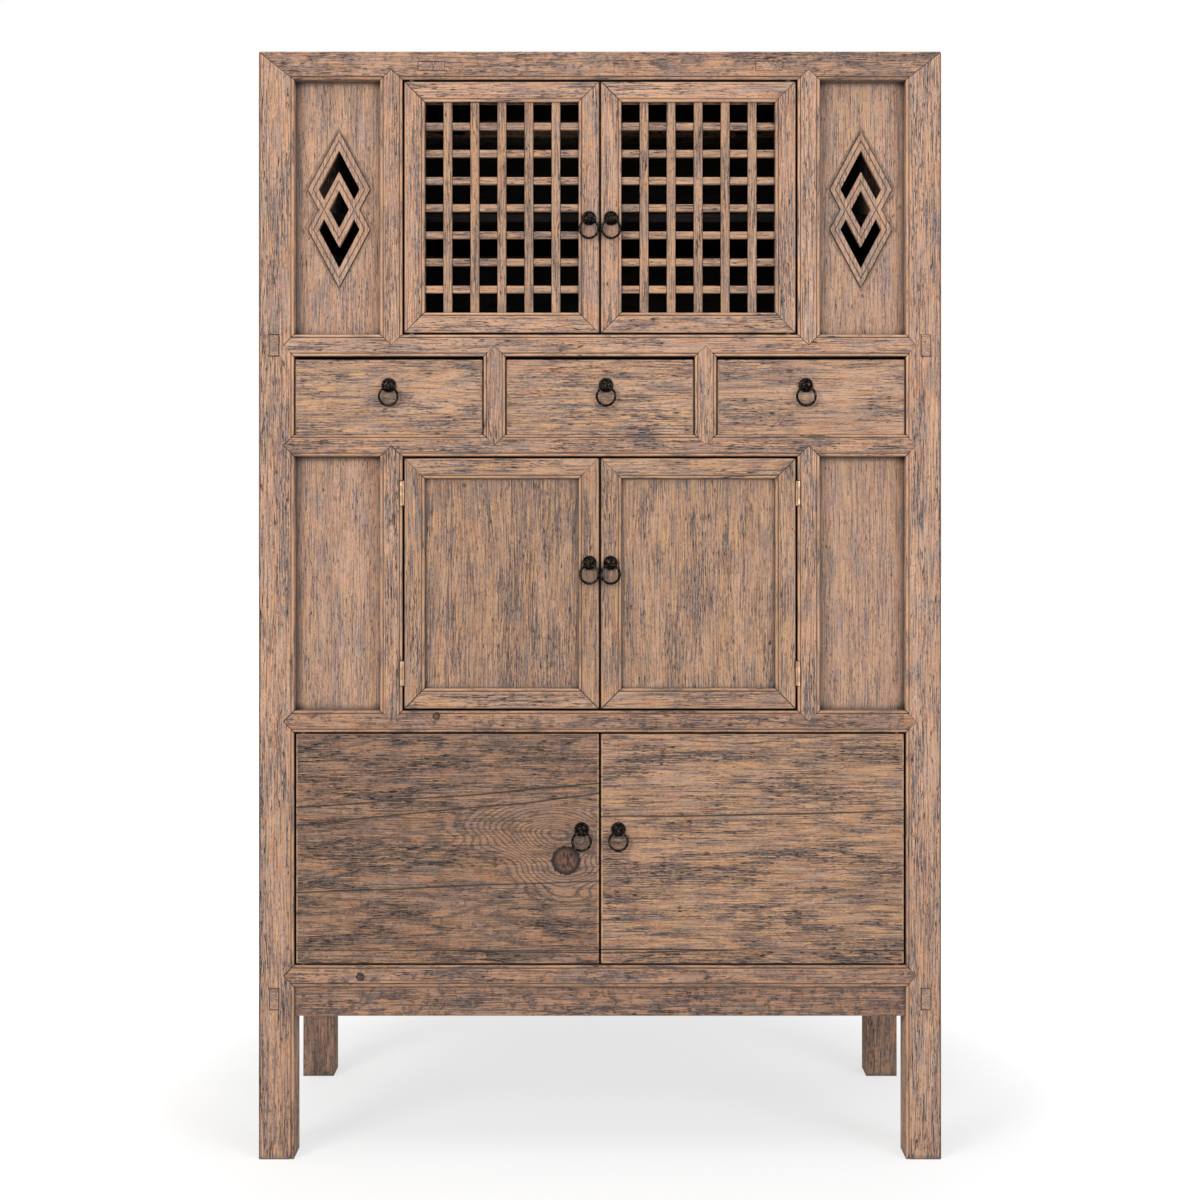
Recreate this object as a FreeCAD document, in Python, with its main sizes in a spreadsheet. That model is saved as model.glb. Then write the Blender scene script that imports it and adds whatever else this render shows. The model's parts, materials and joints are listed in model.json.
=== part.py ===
"""A Chinese book cabinet in washed elm: a mitred post and rail frame, three pairs of doors and three drawers.

The model stands on z = 0 with its front towards -y. Every sub-part is built in cabinet coordinates whose
y = 0 is the front face of the frame, and its placement then moves that face to its place in the part's frame.
The left half is modelled, and pieces of the right half are its mirror images.
"""
import FreeCAD, Part
import math
import os
import re

import Sketcher

# Driving sizes, in millimetres
SIZES = {
    # The whole cabinet
    "cabinet_width": 1140,
    "cabinet_depth": 480,
    # Heights from the floor up, one after the other
    "leg_height": 238,
    "apron_height": 50,
    "lower_opening": 389,
    "middle_opening": 425,
    "drawer_opening": 131,
    "upper_opening": 426,
    "top_rail_height": 47,
    "rail_height": 36,
    # Sections of the frame
    "post_width": 59,
    "post_depth": 54,
    "rail_depth": 40,
    "stile_width": 37,
    "divider_width": 36,
    "door_opening": 660,
    "side_rail_depth": 40,
    "side_rail_rise": 12,
    "back_rail_depth": 30,
    "apron_setback": 6,
    "apron_thickness": 18,
    # Mouldings
    "bead_width": 5,
    "bead_bevel": 1.5,
    "quirk_width": 1.5,
    "quirk_depth": 2,
    "edge_ease": 2,
    # Joinery of the frame
    "mitre_reach": 17,
    "mitre_depth": 12,
    "tenon_thickness": 10,
    "tenon_length": 24,
    "tenon_shoulder": 5,
    "stile_tenon_length": 20,
    "through_tenon_setback": 18,
    "through_tenon_thickness": 16,
    # Panels in their grooves
    "panel_setback": 22,
    "panel_thickness": 10,
    "side_panel_setback": 14,
    "back_panel_setback": 14,
    "groove_depth": 8,
    "panel_play": 1,
    # Top
    "top_panel_thickness": 12,
    "top_panel_drop": 3,
    "batten_offset": 282,
    "batten_width": 44,
    "batten_height": 27,
    "batten_tenon_height": 15,
    "batten_tenon_drop": 2,
    # Boards inside
    "board_thickness": 14,
    "shelf_rise": 216,
    "shelf_setback": 80,
    "bearer_height": 20,
    "bearer_width": 22,
    "guide_height": 24,
    "outer_guide_width": 20,
    # Carved side panels
    "hole_half_width": 34.5,
    "hole_half_height": 65.5,
    "diamond_half_width": 52,
    "diamond_half_height": 97,
    "sink_half_width": 60.5,
    "sink_half_height": 106,
    "diamond_spacing": 67.5,
    "sink_depth": 3.5,
    "diamond_rise": 3,
    "line_width": 1.6,
    "line_depth": 1.2,
    # Doors
    "door_gap": 3,
    "meeting_gap": 3,
    "door_setback": 1.5,
    "door_thickness": 22,
    "door_frame_width": 34,
    "door_mitre_depth": 8,
    "door_groove_depth": 7,
    "door_panel_setback": 8,
    "door_panel_thickness": 8,
    "plank_thickness": 20,
    "plank_strip_height": 22,
    "plank_batten_width": 30,
    "plank_batten_depth": 10,
    "plank_batten_inset": 60,
    # Wooden pivots
    "pivot_inset": 12,
    "pivot_back": 7,
    "pivot_radius": 5,
    "pivot_length": 10,
    "pivot_play": 0.4,
    # Lattice
    "upright_bars": 5,
    "cross_bars": 7,
    "upright_width": 14,
    "crossbar_width": 12,
    "upright_setback": 4,
    "crossbar_setback": 6,
    "bar_back": 16,
    "lap_setback": 11,
    # Butt hinges of the middle doors
    "hinge_height": 41,
    "hinge_inset": 38.5,
    "hinge_axis_inset": 2,
    "hinge_axis_back": 0.5,
    "knuckle_radius": 2.6,
    "knuckle_play": 0.4,
    "hinge_pin_radius": 1.2,
    "leaf_thickness": 1.2,
    "leaf_depth": 18,
    # Drawers
    "drawer_gap": 2,
    "drawer_top_gap": 6,
    "drawer_lift": 0.3,
    "drawer_front_thickness": 20,
    "drawer_length": 350,
    "drawer_side_thickness": 10,
    "drawer_side_height": 100,
    "drawer_floor_thickness": 6,
    "drawer_floor_rise": 6,
    # Ring pulls
    "boss_radius": 11.9,
    "boss_thickness": 4,
    "boss_bevel": 1.2,
    "dish_radius": 8.6,
    "dish_depth": 1.6,
    "nose_width": 6,
    "nose_wall": 2.2,
    "ring_radius": 15.4,
    "ring_wire_radius": 2.1,
    "ring_play": 0.8,
    "ring_plane": 8.4,
    "ring_pivot_drop": 3.6,
    "pin_width": 4,
    "pin_leg_thickness": 1.6,
    "pin_leg_length": 12,
    "upper_pull_offset": 18.5,
    "middle_pull_offset": 17.7,
    "lower_pull_offset": 30.7,
    "upper_pull_drop": 18.5,
    "middle_pull_rise": 34.5,
    "lower_pull_rise": 32.5,
    "drawer_pull_rise": 20,
    "centre_pull_shift": 10,
    "right_pull_shift": 9,
}

# Sizes worked out from the driving ones
DERIVED = {
    "half_width": "cabinet_width / 2",
    "inner_half": "half_width - post_width",
    "door_half": "door_opening / 2",
    "stile_outer": "door_half + stile_width",
    "foot_rail_bottom": "leg_height + apron_height",
    "foot_rail_top": "foot_rail_bottom + rail_height",
    "lower_rail_bottom": "foot_rail_top + lower_opening",
    "lower_rail_top": "lower_rail_bottom + rail_height",
    "drawer_rail_bottom": "lower_rail_top + middle_opening",
    "drawer_rail_top": "drawer_rail_bottom + rail_height",
    "waist_rail_bottom": "drawer_rail_top + drawer_opening",
    "waist_rail_top": "waist_rail_bottom + rail_height",
    "top_rail_bottom": "waist_rail_top + upper_opening",
    "cabinet_height": "top_rail_bottom + top_rail_height",
    "side_rail_bottom": "leg_height + side_rail_rise",
    "side_rail_top": "side_rail_bottom + rail_height",
    "side_half_span": "cabinet_depth / 2 - post_depth",
    "drawer_opening_width": "(inner_half * 2 - divider_width * 2) / 3",
    "divider_centre": "drawer_opening_width / 2 + divider_width / 2",
    "drawer_centre": "drawer_opening_width + divider_width",
    "ring_hole_radius": "ring_wire_radius + ring_play",
    "nose_reach": "ring_plane + ring_hole_radius + nose_wall",
    "pull_reach": "nose_reach - door_setback",
    "front_plane": "(pull_reach - cabinet_depth) / 2",
    "door_inner_width": "door_half - door_gap - meeting_gap / 2 - door_frame_width * 2",
    "upper_door_bottom": "waist_rail_top + door_gap",
    "upper_door_top": "top_rail_bottom - door_gap",
    "middle_door_bottom": "lower_rail_top + door_gap",
    "middle_door_top": "drawer_rail_bottom - door_gap",
    "lower_door_bottom": "foot_rail_top + door_gap",
    "lower_door_top": "lower_rail_bottom - door_gap",
    "door_outer": "-(door_half - door_gap)",
    "door_meeting": "-meeting_gap / 2",
    "plank_outer": "-(inner_half - door_gap)",
}

doc = FreeCAD.newDocument("BookCabinet")
sheet = doc.addObject("Spreadsheet::Sheet", "Sizes")
for row, (size_name, size_value) in enumerate(SIZES.items(), start=1):
    sheet.set("A%d" % row, size_name)
    sheet.set("B%d" % row, str(size_value))
    sheet.setAlias("B%d" % row, size_name)
doc.recompute()


def linked(formula):
    """A formula in size names, written the way the document's expression engine reads it."""

    def full_name(found):
        word = found.group(0)
        if word in SIZES:
            return "Sizes." + word
        if word in DERIVED:
            return "Derived." + word
        return word

    return re.sub(r"[a-z][a-z_]*", full_name, str(formula))


def bind(thing, property_name, formula):
    """Ties a property to a formula of the sheet's sizes."""
    thing.setExpression(property_name, linked(formula))


derived = doc.addObject("App::VarSet", "Derived")
for derived_name in DERIVED:
    derived.addProperty("App::PropertyFloat", derived_name, "Levels")
for derived_name, derived_formula in DERIVED.items():
    bind(derived, derived_name, derived_formula)
doc.recompute()

NODES = []


def node(thing, label):
    """Names an object and keeps it as a sub-part of its own."""
    thing.Label = label
    NODES.append(thing)
    return thing


def place(thing, x="0", y="0", z="0", axis=None, angle=0):
    """Puts an object at a place in cabinet coordinates, turned about an axis by degrees."""
    if axis:
        thing.Placement = FreeCAD.Placement(FreeCAD.Vector(), FreeCAD.Rotation(FreeCAD.Vector(*axis), angle))
    bind(thing, "Placement.Base.x", x)
    bind(thing, "Placement.Base.y", "front_plane + (%s)" % y)
    bind(thing, "Placement.Base.z", z)
    return thing


def new_body(name, **where):
    """An empty body at its place in the cabinet."""
    return place(doc.addObject("PartDesign::Body", name), **where)


def sketch(body, name, plane, loops, offset="0"):
    """A sketch of closed outlines, each corner held by two distances from the origin."""
    drawn = body.newObject("Sketcher::SketchObject", name)
    support = next(item for item in body.Origin.OriginFeatures if item.Role == plane + "_Plane")
    drawn.AttachmentSupport = [(support, "")]
    drawn.MapMode = "FlatFace"
    bind(drawn, "AttachmentOffset.Base.z", offset)
    for loop in loops:
        first = drawn.GeometryCount
        count = len(loop)
        turns = [math.tau * corner / count for corner in range(count)]
        start = [FreeCAD.Vector(math.cos(turn), math.sin(turn), 0) for turn in turns]
        drawn.addGeometry([Part.LineSegment(start[i], start[(i + 1) % count]) for i in range(count)])
        links = [
            Sketcher.Constraint("Coincident", first + i, 2, first + (i + 1) % count, 1)
            for i in range(count)
        ]
        drawn.addConstraint(links)
        for i, (across, along) in enumerate(loop):
            for kind, formula in (("DistanceX", across), ("DistanceY", along)):
                held = drawn.addConstraint(Sketcher.Constraint(kind, -1, 1, first + i, 1, 1.0))
                drawn.setExpression("Constraints[%d]" % held, linked(formula))
    return drawn


def pad(body, drawn, length, reverse=False):
    """Pads a sketch along its plane's normal, or against it."""
    feature = body.newObject("PartDesign::Pad", drawn.Name + "_pad")
    feature.Profile = drawn
    feature.Reversed = reverse
    bind(feature, "Length", length)
    return feature


def pocket(body, drawn, length, reverse=False):
    """Cuts a sketch into the body against its plane's normal, or along it."""
    feature = body.newObject("PartDesign::Pocket", drawn.Name + "_pocket")
    feature.Profile = drawn
    feature.Reversed = reverse
    bind(feature, "Length", length)
    return feature


def sized(feature, x, y, z):
    """Gives a box feature its extent from pairs of formulas."""
    for property_name, (low, high) in zip(("Length", "Width", "Height"), (x, y, z)):
        bind(feature, property_name, "(%s) - (%s)" % (high, low))
    for axis, (low, high) in zip("xyz", (x, y, z)):
        bind(feature, "Placement.Base." + axis, low)
    return feature


def add_block(body, name, x, y, z):
    """A square tenon, tongue or block on a body."""
    return sized(body.newObject("PartDesign::AdditiveBox", name), x, y, z)


def cut_block(body, name, x, y, z):
    """A square mortise, groove or shoulder in a body."""
    return sized(body.newObject("PartDesign::SubtractiveBox", name), x, y, z)


def board(name, x, y, z):
    """A plain board between limits in cabinet coordinates."""
    plain = doc.addObject("Part::Box", name)
    for property_name, (low, high) in zip(("Length", "Width", "Height"), (x, y, z)):
        bind(plain, property_name, "(%s) - (%s)" % (high, low))
    return place(plain, x[0], y[0], z[0])


def tongued_panel(name, thin, limits, **where):
    """A panel between the limits of its opening, with a tongue on each edge.

    Its corners are cut back where the frame's tenons pass; thin is the direction of its thickness.
    """
    body = new_body(name, **where)
    for i, direction in enumerate("xyz"):
        if direction == thin:
            continue
        low, high = limits[i]
        field = list(limits)
        field[i] = ("%s - (groove_depth - panel_play)" % low, "%s + (groove_depth - panel_play)" % high)
        add_block(body, name + "_field", *field)
    return body


def group(label, things):
    """One sub-part that holds several separate pieces."""
    together = doc.addObject("Part::Compound", label)
    together.Links = things
    return node(together, label)


def mirrored(thing, name):
    """The mirror image of a piece in the cabinet's middle plane."""
    image = doc.addObject("Part::Mirroring", name)
    image.Source = thing
    image.Normal = FreeCAD.Vector(1, 0, 0)
    return image


def pair(thing, label):
    """A piece and its mirror image as one sub-part."""
    return group(label, [thing, mirrored(thing, label + "_right_piece")])


# Outlines that pieces share
def beaded_edge(edge, inward):
    """Front corner with a bevelled bead and the quirk beside it, as places across and behind the face."""
    return [
        (edge, "bead_bevel"),
        ("%s %s bead_bevel" % (edge, inward), "0"),
        ("%s %s (bead_width - bead_bevel)" % (edge, inward), "0"),
        ("%s %s bead_width" % (edge, inward), "quirk_depth"),
        ("%s %s (bead_width + quirk_width)" % (edge, inward), "0"),
    ]


def eased_edge(edge, inward):
    """Front corner with its edge taken off."""
    return [(edge, "edge_ease"), ("%s %s edge_ease" % (edge, inward), "0")]


def section(low_edge, high_edge, low, high, depth):
    """Closed section of a frame member, with a worked front corner at each side."""
    return low_edge + high_edge[::-1] + [(high, depth), (low, depth)]


def turned(points):
    """The same outline with its two directions exchanged."""
    return [(along, across) for across, along in points]


def middle(low, high):
    """The place halfway between two others."""
    return "((%s) + (%s)) / 2" % (low, high)


# Sides of the prisms that stand for round pins, sockets and barrels
ROUND_SIDES = 12


def round_piece(body, name, radius, length, x="0", y="0", z="0", cut=False):
    """A round pin, socket or barrel along the body's z."""
    piece = body.newObject("PartDesign::SubtractivePrism" if cut else "PartDesign::AdditivePrism", name)
    piece.Polygon = ROUND_SIDES
    bind(piece, "Circumradius", radius)
    bind(piece, "Height", length)
    for axis, formula in (("x", x), ("y", y), ("z", z)):
        bind(piece, "Placement.Base." + axis, formula)
    return piece


# Middle and width of the uprights that stand between rails
STILE = ("door_half + stile_width / 2", "stile_width")
DIVIDER = ("divider_centre", "divider_width")


# Frame
def post(name, bead, rails, grooves, **where):
    """A corner post: the left front one, or turned round the one across the cabinet from it."""
    body = new_body(name, **where)
    inner = beaded_edge("-inner_half", "-") if bead else eased_edge("-inner_half", "-")
    profile = section(eased_edge("-half_width", "+"), inner, "-half_width", "-inner_half", "post_depth")
    pad(body, sketch(body, name + "_section", "XY", [profile]), "cabinet_height")

    # Three-way mitre at the top corner
    face = [
        ("-half_width", "cabinet_height"),
        ("-inner_half", "cabinet_height"),
        ("-inner_half", "top_rail_bottom"),
    ]
    pocket(body, sketch(body, name + "_front_mitre", "XZ", [face]), "post_depth")
    side = [("0", "cabinet_height"), ("post_depth", "cabinet_height"), ("post_depth", "top_rail_bottom")]
    pocket(body, sketch(body, name + "_side_mitre", "YZ", [side], "-inner_half"), "post_width")

    # Pointed shoulders and mortises of the rails between this post and the next one across
    notches = []
    for low, high, pointed in rails:
        if pointed:
            peak = ("-inner_half - mitre_reach", middle(low, high))
            notches.append([("-inner_half", low), peak, ("-inner_half", high)])
        depth = ("mitre_depth", "mitre_depth + tenon_thickness")
        height = (low + " + tenon_shoulder", high + " - tenon_shoulder")
        cut_block(body, name + "_mortise", ("-inner_half - tenon_length", "-inner_half"), depth, height)
    if notches:
        pocket(body, sketch(body, name + "_notches", "XZ", notches), "mitre_depth")

    # Pointed shoulders and through mortises of the side rails
    notches = []
    for low, high in (("side_rail_bottom", "side_rail_top"), ("waist_rail_bottom", "waist_rail_top")):
        peak = ("post_depth - mitre_reach", middle(low, high))
        notches.append([("post_depth", low), peak, ("post_depth", high)])
        outer = "-half_width + through_tenon_setback"
        across = (outer, outer + " + through_tenon_thickness")
        cut_block(body, name + "_through_mortise", across, ("0", "post_depth"), (low, high))
    drawn = sketch(body, name + "_side_notches", "YZ", notches, "-half_width")
    pocket(body, drawn, "mitre_depth", reverse=True)

    # Grooves for the panels beside the post
    for setback, low, high in grooves:
        depth = (setback, setback + " + panel_thickness")
        cut_block(body, name + "_groove", ("-inner_half - groove_depth", "-inner_half"), depth, (low, high))
    outer = "-half_width + side_panel_setback"
    across = (outer, outer + " + panel_thickness")
    depth = ("post_depth - groove_depth", "post_depth")
    cut_block(body, name + "_side_groove", across, depth, ("side_rail_top", "top_rail_bottom"))
    return body


def rail(name, half_span, low, high, depth, tenon, edges=(True, True), pointed=True, **where):
    """A rail between two posts, along x, with pointed shoulders on its face and a tenon at each end."""
    body = new_body(name, **where)
    reach = half_span + " + mitre_reach" if pointed else half_span
    low_edge = beaded_edge(low, "+") if edges[0] else eased_edge(low, "+")
    high_edge = beaded_edge(high, "-") if edges[1] else eased_edge(high, "-")
    profile = turned(section(low_edge, high_edge, low, high, depth))
    pad(body, sketch(body, name + "_section", "YZ", [profile], "-(%s)" % reach), "2 * (%s)" % reach)
    for side in ("-", ""):
        shoulder = side + "(%s)" % half_span
        tip = side + "(%s)" % reach
        if pointed:
            ends = (tip, shoulder) if side else (shoulder, tip)
            cut_block(body, name + "_shoulder", ends, ("mitre_depth", depth), (low, high))
        tenon_tip = side + "(%s + %s)" % (half_span, tenon["length"])
        ends = (tenon_tip, shoulder) if side else (shoulder, tenon_tip)
        across = (tenon["front"], "%s + %s" % (tenon["front"], tenon["thickness"]))
        add_block(body, name + "_tenon", ends, across, (tenon["low"], tenon["high"]))
    if pointed:
        tips = []
        for side in ("-", ""):
            shoulder = side + "(%s)" % half_span
            tip = side + "(%s)" % reach
            for edge in (low, high):
                tips.append([(shoulder, edge), (tip, edge), (tip, middle(low, high))])
        pocket(body, sketch(body, name + "_tips", "XZ", tips), "mitre_depth")
    return body


def blind_tenon(low, high):
    """Tenon of a rail between the posts, behind the mitred face."""
    return {
        "length": "tenon_length",
        "front": "mitre_depth",
        "thickness": "tenon_thickness",
        "low": low + " + tenon_shoulder",
        "high": high + " - tenon_shoulder",
    }


def through_tenon(low, high):
    """Tenon of a side rail, whose end shows on the face of the post."""
    return {
        "length": "post_depth",
        "front": "through_tenon_setback",
        "thickness": "through_tenon_thickness",
        "low": low,
        "high": high,
    }


def stile(name, centre, width, low, high, groove=None):
    """An upright between two rails, with pointed shoulders on its face and a tenon at each end."""
    body = new_body(name)
    left = "%s - %s / 2" % (centre, width)
    right = "%s + %s / 2" % (centre, width)
    profile = section(beaded_edge(left, "+"), beaded_edge(right, "-"), left, right, "rail_depth")
    drawn = sketch(body, name + "_section", "XY", [profile], "%s - mitre_reach" % low)
    pad(body, drawn, "%s - (%s) + 2 * mitre_reach" % (high, low))
    tips = []
    for edge, outward in ((low, "-"), (high, "+")):
        tip = "%s %s mitre_reach" % (edge, outward)
        tips += [[(left, edge), (left, tip), (centre, tip)], [(right, edge), (right, tip), (centre, tip)]]
        ends = (tip, edge) if outward == "-" else (edge, tip)
        cut_block(body, name + "_shoulder", (left, right), ("mitre_depth", "rail_depth"), ends)
        far = "%s %s stile_tenon_length" % (edge, outward)
        ends = (far, edge) if outward == "-" else (edge, far)
        across = (left + " + tenon_shoulder", right + " - tenon_shoulder")
        add_block(body, name + "_tenon", across, ("mitre_depth", "mitre_depth + tenon_thickness"), ends)
    pocket(body, sketch(body, name + "_tips", "XZ", tips), "mitre_depth")
    if groove:
        depth = ("panel_setback", "panel_setback + panel_thickness")
        cut_block(body, name + "_groove", (left, left + " + groove_depth"), depth, (low, high))
    return body


def receive_stile(body, name, centre, width, edge, into):
    """Notch and mortise in a rail for the end of an upright; into is + for a rail above it."""
    for side in ("-", ""):
        middle_place = "%s(%s)" % (side, centre)
        left = "%s - %s / 2" % (middle_place, width)
        right = "%s + %s / 2" % (middle_place, width)
        peak = (middle_place, "%s %s mitre_reach" % (edge, into))
        drawn = sketch(body, name + "_notch", "XZ", [[(left, edge), peak, (right, edge)]])
        pocket(body, drawn, "mitre_depth")
        far = "%s %s stile_tenon_length" % (edge, into)
        ends = (edge, far) if into == "+" else (far, edge)
        across = (left + " + tenon_shoulder", right + " - tenon_shoulder")
        cut_block(body, name + "_mortise", across, ("mitre_depth", "mitre_depth + tenon_thickness"), ends)


def receive_panels(body, name, edge, into):
    """Grooves in a rail for the two fixed panels beside the doors."""
    ends = (edge, "%s + groove_depth" % edge) if into == "+" else ("%s - groove_depth" % edge, edge)
    depth = ("panel_setback", "panel_setback + panel_thickness")
    cut_block(body, name + "_groove", ("-inner_half", "-stile_outer"), depth, ends)
    cut_block(body, name + "_groove", ("stile_outer", "inner_half"), depth, ends)


def receive_pivots(body, name, outer, edge, into):
    """Sockets in a rail for the wooden pivots of a pair of doors."""
    for side in ("-", ""):
        x = "%s(%s - door_gap - pivot_inset)" % (side, outer)
        z = edge if into == "+" else edge + " - pivot_length"
        round_piece(body, name + "_socket", "pivot_radius + pivot_play", "pivot_length", x=x,
                    y="door_setback + pivot_back", z=z, cut=True)


BATTEN_TOP = "cabinet_height - top_panel_drop - top_panel_thickness"
BATTEN_TENON = (
    BATTEN_TOP + " - batten_tenon_drop - batten_tenon_height",
    BATTEN_TOP + " - batten_tenon_drop",
)


def top_rail(name, bead, **where):
    """The front rail of the top frame, or turned round the back one, mitred into both corners."""
    body = new_body(name, **where)
    low, high = "top_rail_bottom", "cabinet_height"
    low_edge = beaded_edge(low, "+") if bead else eased_edge(low, "+")
    profile = turned(section(low_edge, eased_edge(high, "-"), low, high, "post_depth"))
    pad(body, sketch(body, name + "_section", "YZ", [profile], "-half_width"), "cabinet_width")
    faces = [[(s + "half_width", high), (s + "half_width", low), (s + "inner_half", low)] for s in ("-", "")]
    pocket(body, sketch(body, name + "_face_mitres", "XZ", faces), "post_depth")
    tops = [
        [(s + "half_width", "0"), (s + "half_width", "post_depth"), (s + "inner_half", "post_depth")]
        for s in ("-", "")
    ]
    pocket(body, sketch(body, name + "_top_mitres", "XY", tops, high), "top_rail_height")
    groove = (BATTEN_TOP, "cabinet_height - top_panel_drop")
    depth = ("post_depth - groove_depth", "post_depth")
    length = ("-inner_half - groove_depth", "inner_half + groove_depth")
    cut_block(body, name + "_groove", length, depth, groove)
    for side in ("-", ""):
        left = "%sbatten_offset - batten_width / 2" % side
        right = "%sbatten_offset + batten_width / 2" % side
        cut_block(body, name + "_batten_mortise", (left, right), ("0", "post_depth"), BATTEN_TENON)
    return body


def side_top_rail(name):
    """The left rail of the top frame, mitred into the front and back corners."""
    body = new_body(name)
    low, high = "top_rail_bottom", "cabinet_height"
    profile = [
        ("-half_width", low),
        ("-half_width", high + " - edge_ease"),
        ("-half_width + edge_ease", high),
        ("-inner_half", high),
        ("-inner_half", low),
    ]
    pad(body, sketch(body, name + "_section", "XZ", [profile]), "cabinet_depth", reverse=True)
    faces = [
        [("0", high), ("0", low), ("post_depth", low)],
        [("cabinet_depth", high), ("cabinet_depth", low), ("cabinet_depth - post_depth", low)],
    ]
    pocket(body, sketch(body, name + "_face_mitres", "YZ", faces, "-inner_half"), "post_width")
    tops = [
        [("-half_width", "0"), ("-inner_half", "0"), ("-inner_half", "post_depth")],
        [
            ("-half_width", "cabinet_depth"),
            ("-inner_half", "cabinet_depth"),
            ("-inner_half", "cabinet_depth - post_depth"),
        ],
    ]
    pocket(body, sketch(body, name + "_top_mitres", "XY", tops, high), "top_rail_height")
    groove = (BATTEN_TOP, "cabinet_height - top_panel_drop")
    length = ("post_depth - groove_depth", "cabinet_depth - post_depth + groove_depth")
    cut_block(body, name + "_groove", ("-inner_half - groove_depth", "-inner_half"), length, groove)
    outer = "-half_width + side_panel_setback"
    length = ("post_depth", "cabinet_depth - post_depth")
    across = (outer, outer + " + panel_thickness")
    cut_block(body, name + "_panel_groove", across, length, (low, low + " + groove_depth"))
    return body


FRONT_RAILS = [
    ("foot_rail_bottom", "foot_rail_top", True),
    ("lower_rail_bottom", "lower_rail_top", True),
    ("drawer_rail_bottom", "drawer_rail_top", True),
    ("waist_rail_bottom", "waist_rail_top", True),
]
BACK_RAILS = [
    ("side_rail_bottom", "side_rail_top", False),
    ("lower_rail_bottom", "lower_rail_top", False),
    ("waist_rail_bottom", "waist_rail_top", False),
]

front_grooves = [
    ("panel_setback", "waist_rail_top", "top_rail_bottom"),
    ("panel_setback", "lower_rail_top", "drawer_rail_bottom"),
    ("apron_setback", "leg_height", "foot_rail_bottom"),
]
back_grooves = [("back_panel_setback", "side_rail_top", "top_rail_bottom")]
turned_round = {"y": "cabinet_depth", "axis": (0, 0, 1), "angle": 180}

front_left = node(post("post_front_left", True, FRONT_RAILS, front_grooves), "post_front_left")
node(mirrored(front_left, "post_front_right"), "post_front_right")
back_right = post("post_back_right", False, BACK_RAILS, back_grooves, **turned_round)
pair(back_right, "posts_back")

front_top = node(top_rail("top_rail_front", True), "top_rail_front")
receive_stile(front_top, "top_rail_front", *STILE, "top_rail_bottom", "+")
receive_panels(front_top, "top_rail_front", "top_rail_bottom", "+")
receive_pivots(front_top, "top_rail_front", "door_half", "top_rail_bottom", "+")
back_top = top_rail("top_rail_back", False, **turned_round)
depth_of_groove = ("back_panel_setback", "back_panel_setback + panel_thickness")
cut_block(
    back_top, "top_rail_back_groove", ("-inner_half", "inner_half"), depth_of_groove,
    ("top_rail_bottom", "top_rail_bottom + groove_depth"),
)
left_top = side_top_rail("top_rail_left")
group("top_rails_sides_and_back", [back_top, left_top, mirrored(left_top, "top_rail_right")])

inset = "groove_depth - panel_play"
node(
    board(
        "top_panel",
        ("-inner_half - (%s)" % inset, "inner_half + (%s)" % inset),
        ("post_depth - (%s)" % inset, "cabinet_depth - post_depth + (%s)" % inset),
        (BATTEN_TOP, "cabinet_height - top_panel_drop"),
    ),
    "top_panel",
)


def batten():
    """A cross batten under the top panel, with its tenons through the front and back rails."""
    body = new_body("top_batten")
    across = ("-batten_offset - batten_width / 2", "-batten_offset + batten_width / 2")
    length = ("post_depth", "cabinet_depth - post_depth")
    add_block(body, "batten_bar", across, length, (BATTEN_TOP + " - batten_height", BATTEN_TOP))
    add_block(body, "batten_tenons", across, ("0", "cabinet_depth"), BATTEN_TENON)
    return body


pair(batten(), "top_battens")

# Front rails, from the top down
def front_rail(name, low, high):
    """A rail of the cabinet's front."""
    return node(rail(name, "inner_half", low, high, "rail_depth", blind_tenon(low, high)), name)


waist_rail = front_rail("rail_above_drawers", "waist_rail_bottom", "waist_rail_top")
receive_stile(waist_rail, "waist_rail_stile", *STILE, "waist_rail_top", "-")
receive_stile(waist_rail, "waist_rail_divider", *DIVIDER, "waist_rail_bottom", "+")
receive_panels(waist_rail, "waist_rail", "waist_rail_top", "-")
receive_pivots(waist_rail, "waist_rail", "door_half", "waist_rail_top", "-")

drawer_rail = front_rail("rail_below_drawers", "drawer_rail_bottom", "drawer_rail_top")
receive_stile(drawer_rail, "drawer_rail_divider", *DIVIDER, "drawer_rail_top", "-")
receive_stile(drawer_rail, "drawer_rail_stile", *STILE, "drawer_rail_bottom", "+")
receive_panels(drawer_rail, "drawer_rail", "drawer_rail_bottom", "+")

lower_rail = front_rail("rail_below_middle_doors", "lower_rail_bottom", "lower_rail_top")
receive_stile(lower_rail, "lower_rail_stile", *STILE, "lower_rail_top", "-")
receive_panels(lower_rail, "lower_rail", "lower_rail_top", "-")
receive_pivots(lower_rail, "lower_rail", "inner_half", "lower_rail_bottom", "+")

foot_rail = front_rail("rail_below_bottom_doors", "foot_rail_bottom", "foot_rail_top")
receive_pivots(foot_rail, "foot_rail", "inner_half", "foot_rail_top", "-")

apron = new_body("apron_front")
apron_span = ("leg_height", "foot_rail_bottom")
apron_depth = ("apron_setback", "apron_setback + apron_thickness")
add_block(apron, "apron_board", ("-inner_half", "inner_half"), apron_depth, apron_span)
tongue = "groove_depth - panel_play"
tongue_length = ("-inner_half - (%s)" % tongue, "inner_half + (%s)" % tongue)
tongue_depth = ("apron_setback", "apron_setback + panel_thickness")
add_block(apron, "apron_tongues", tongue_length, tongue_depth, apron_span)
node(apron, "apron_front")

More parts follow.
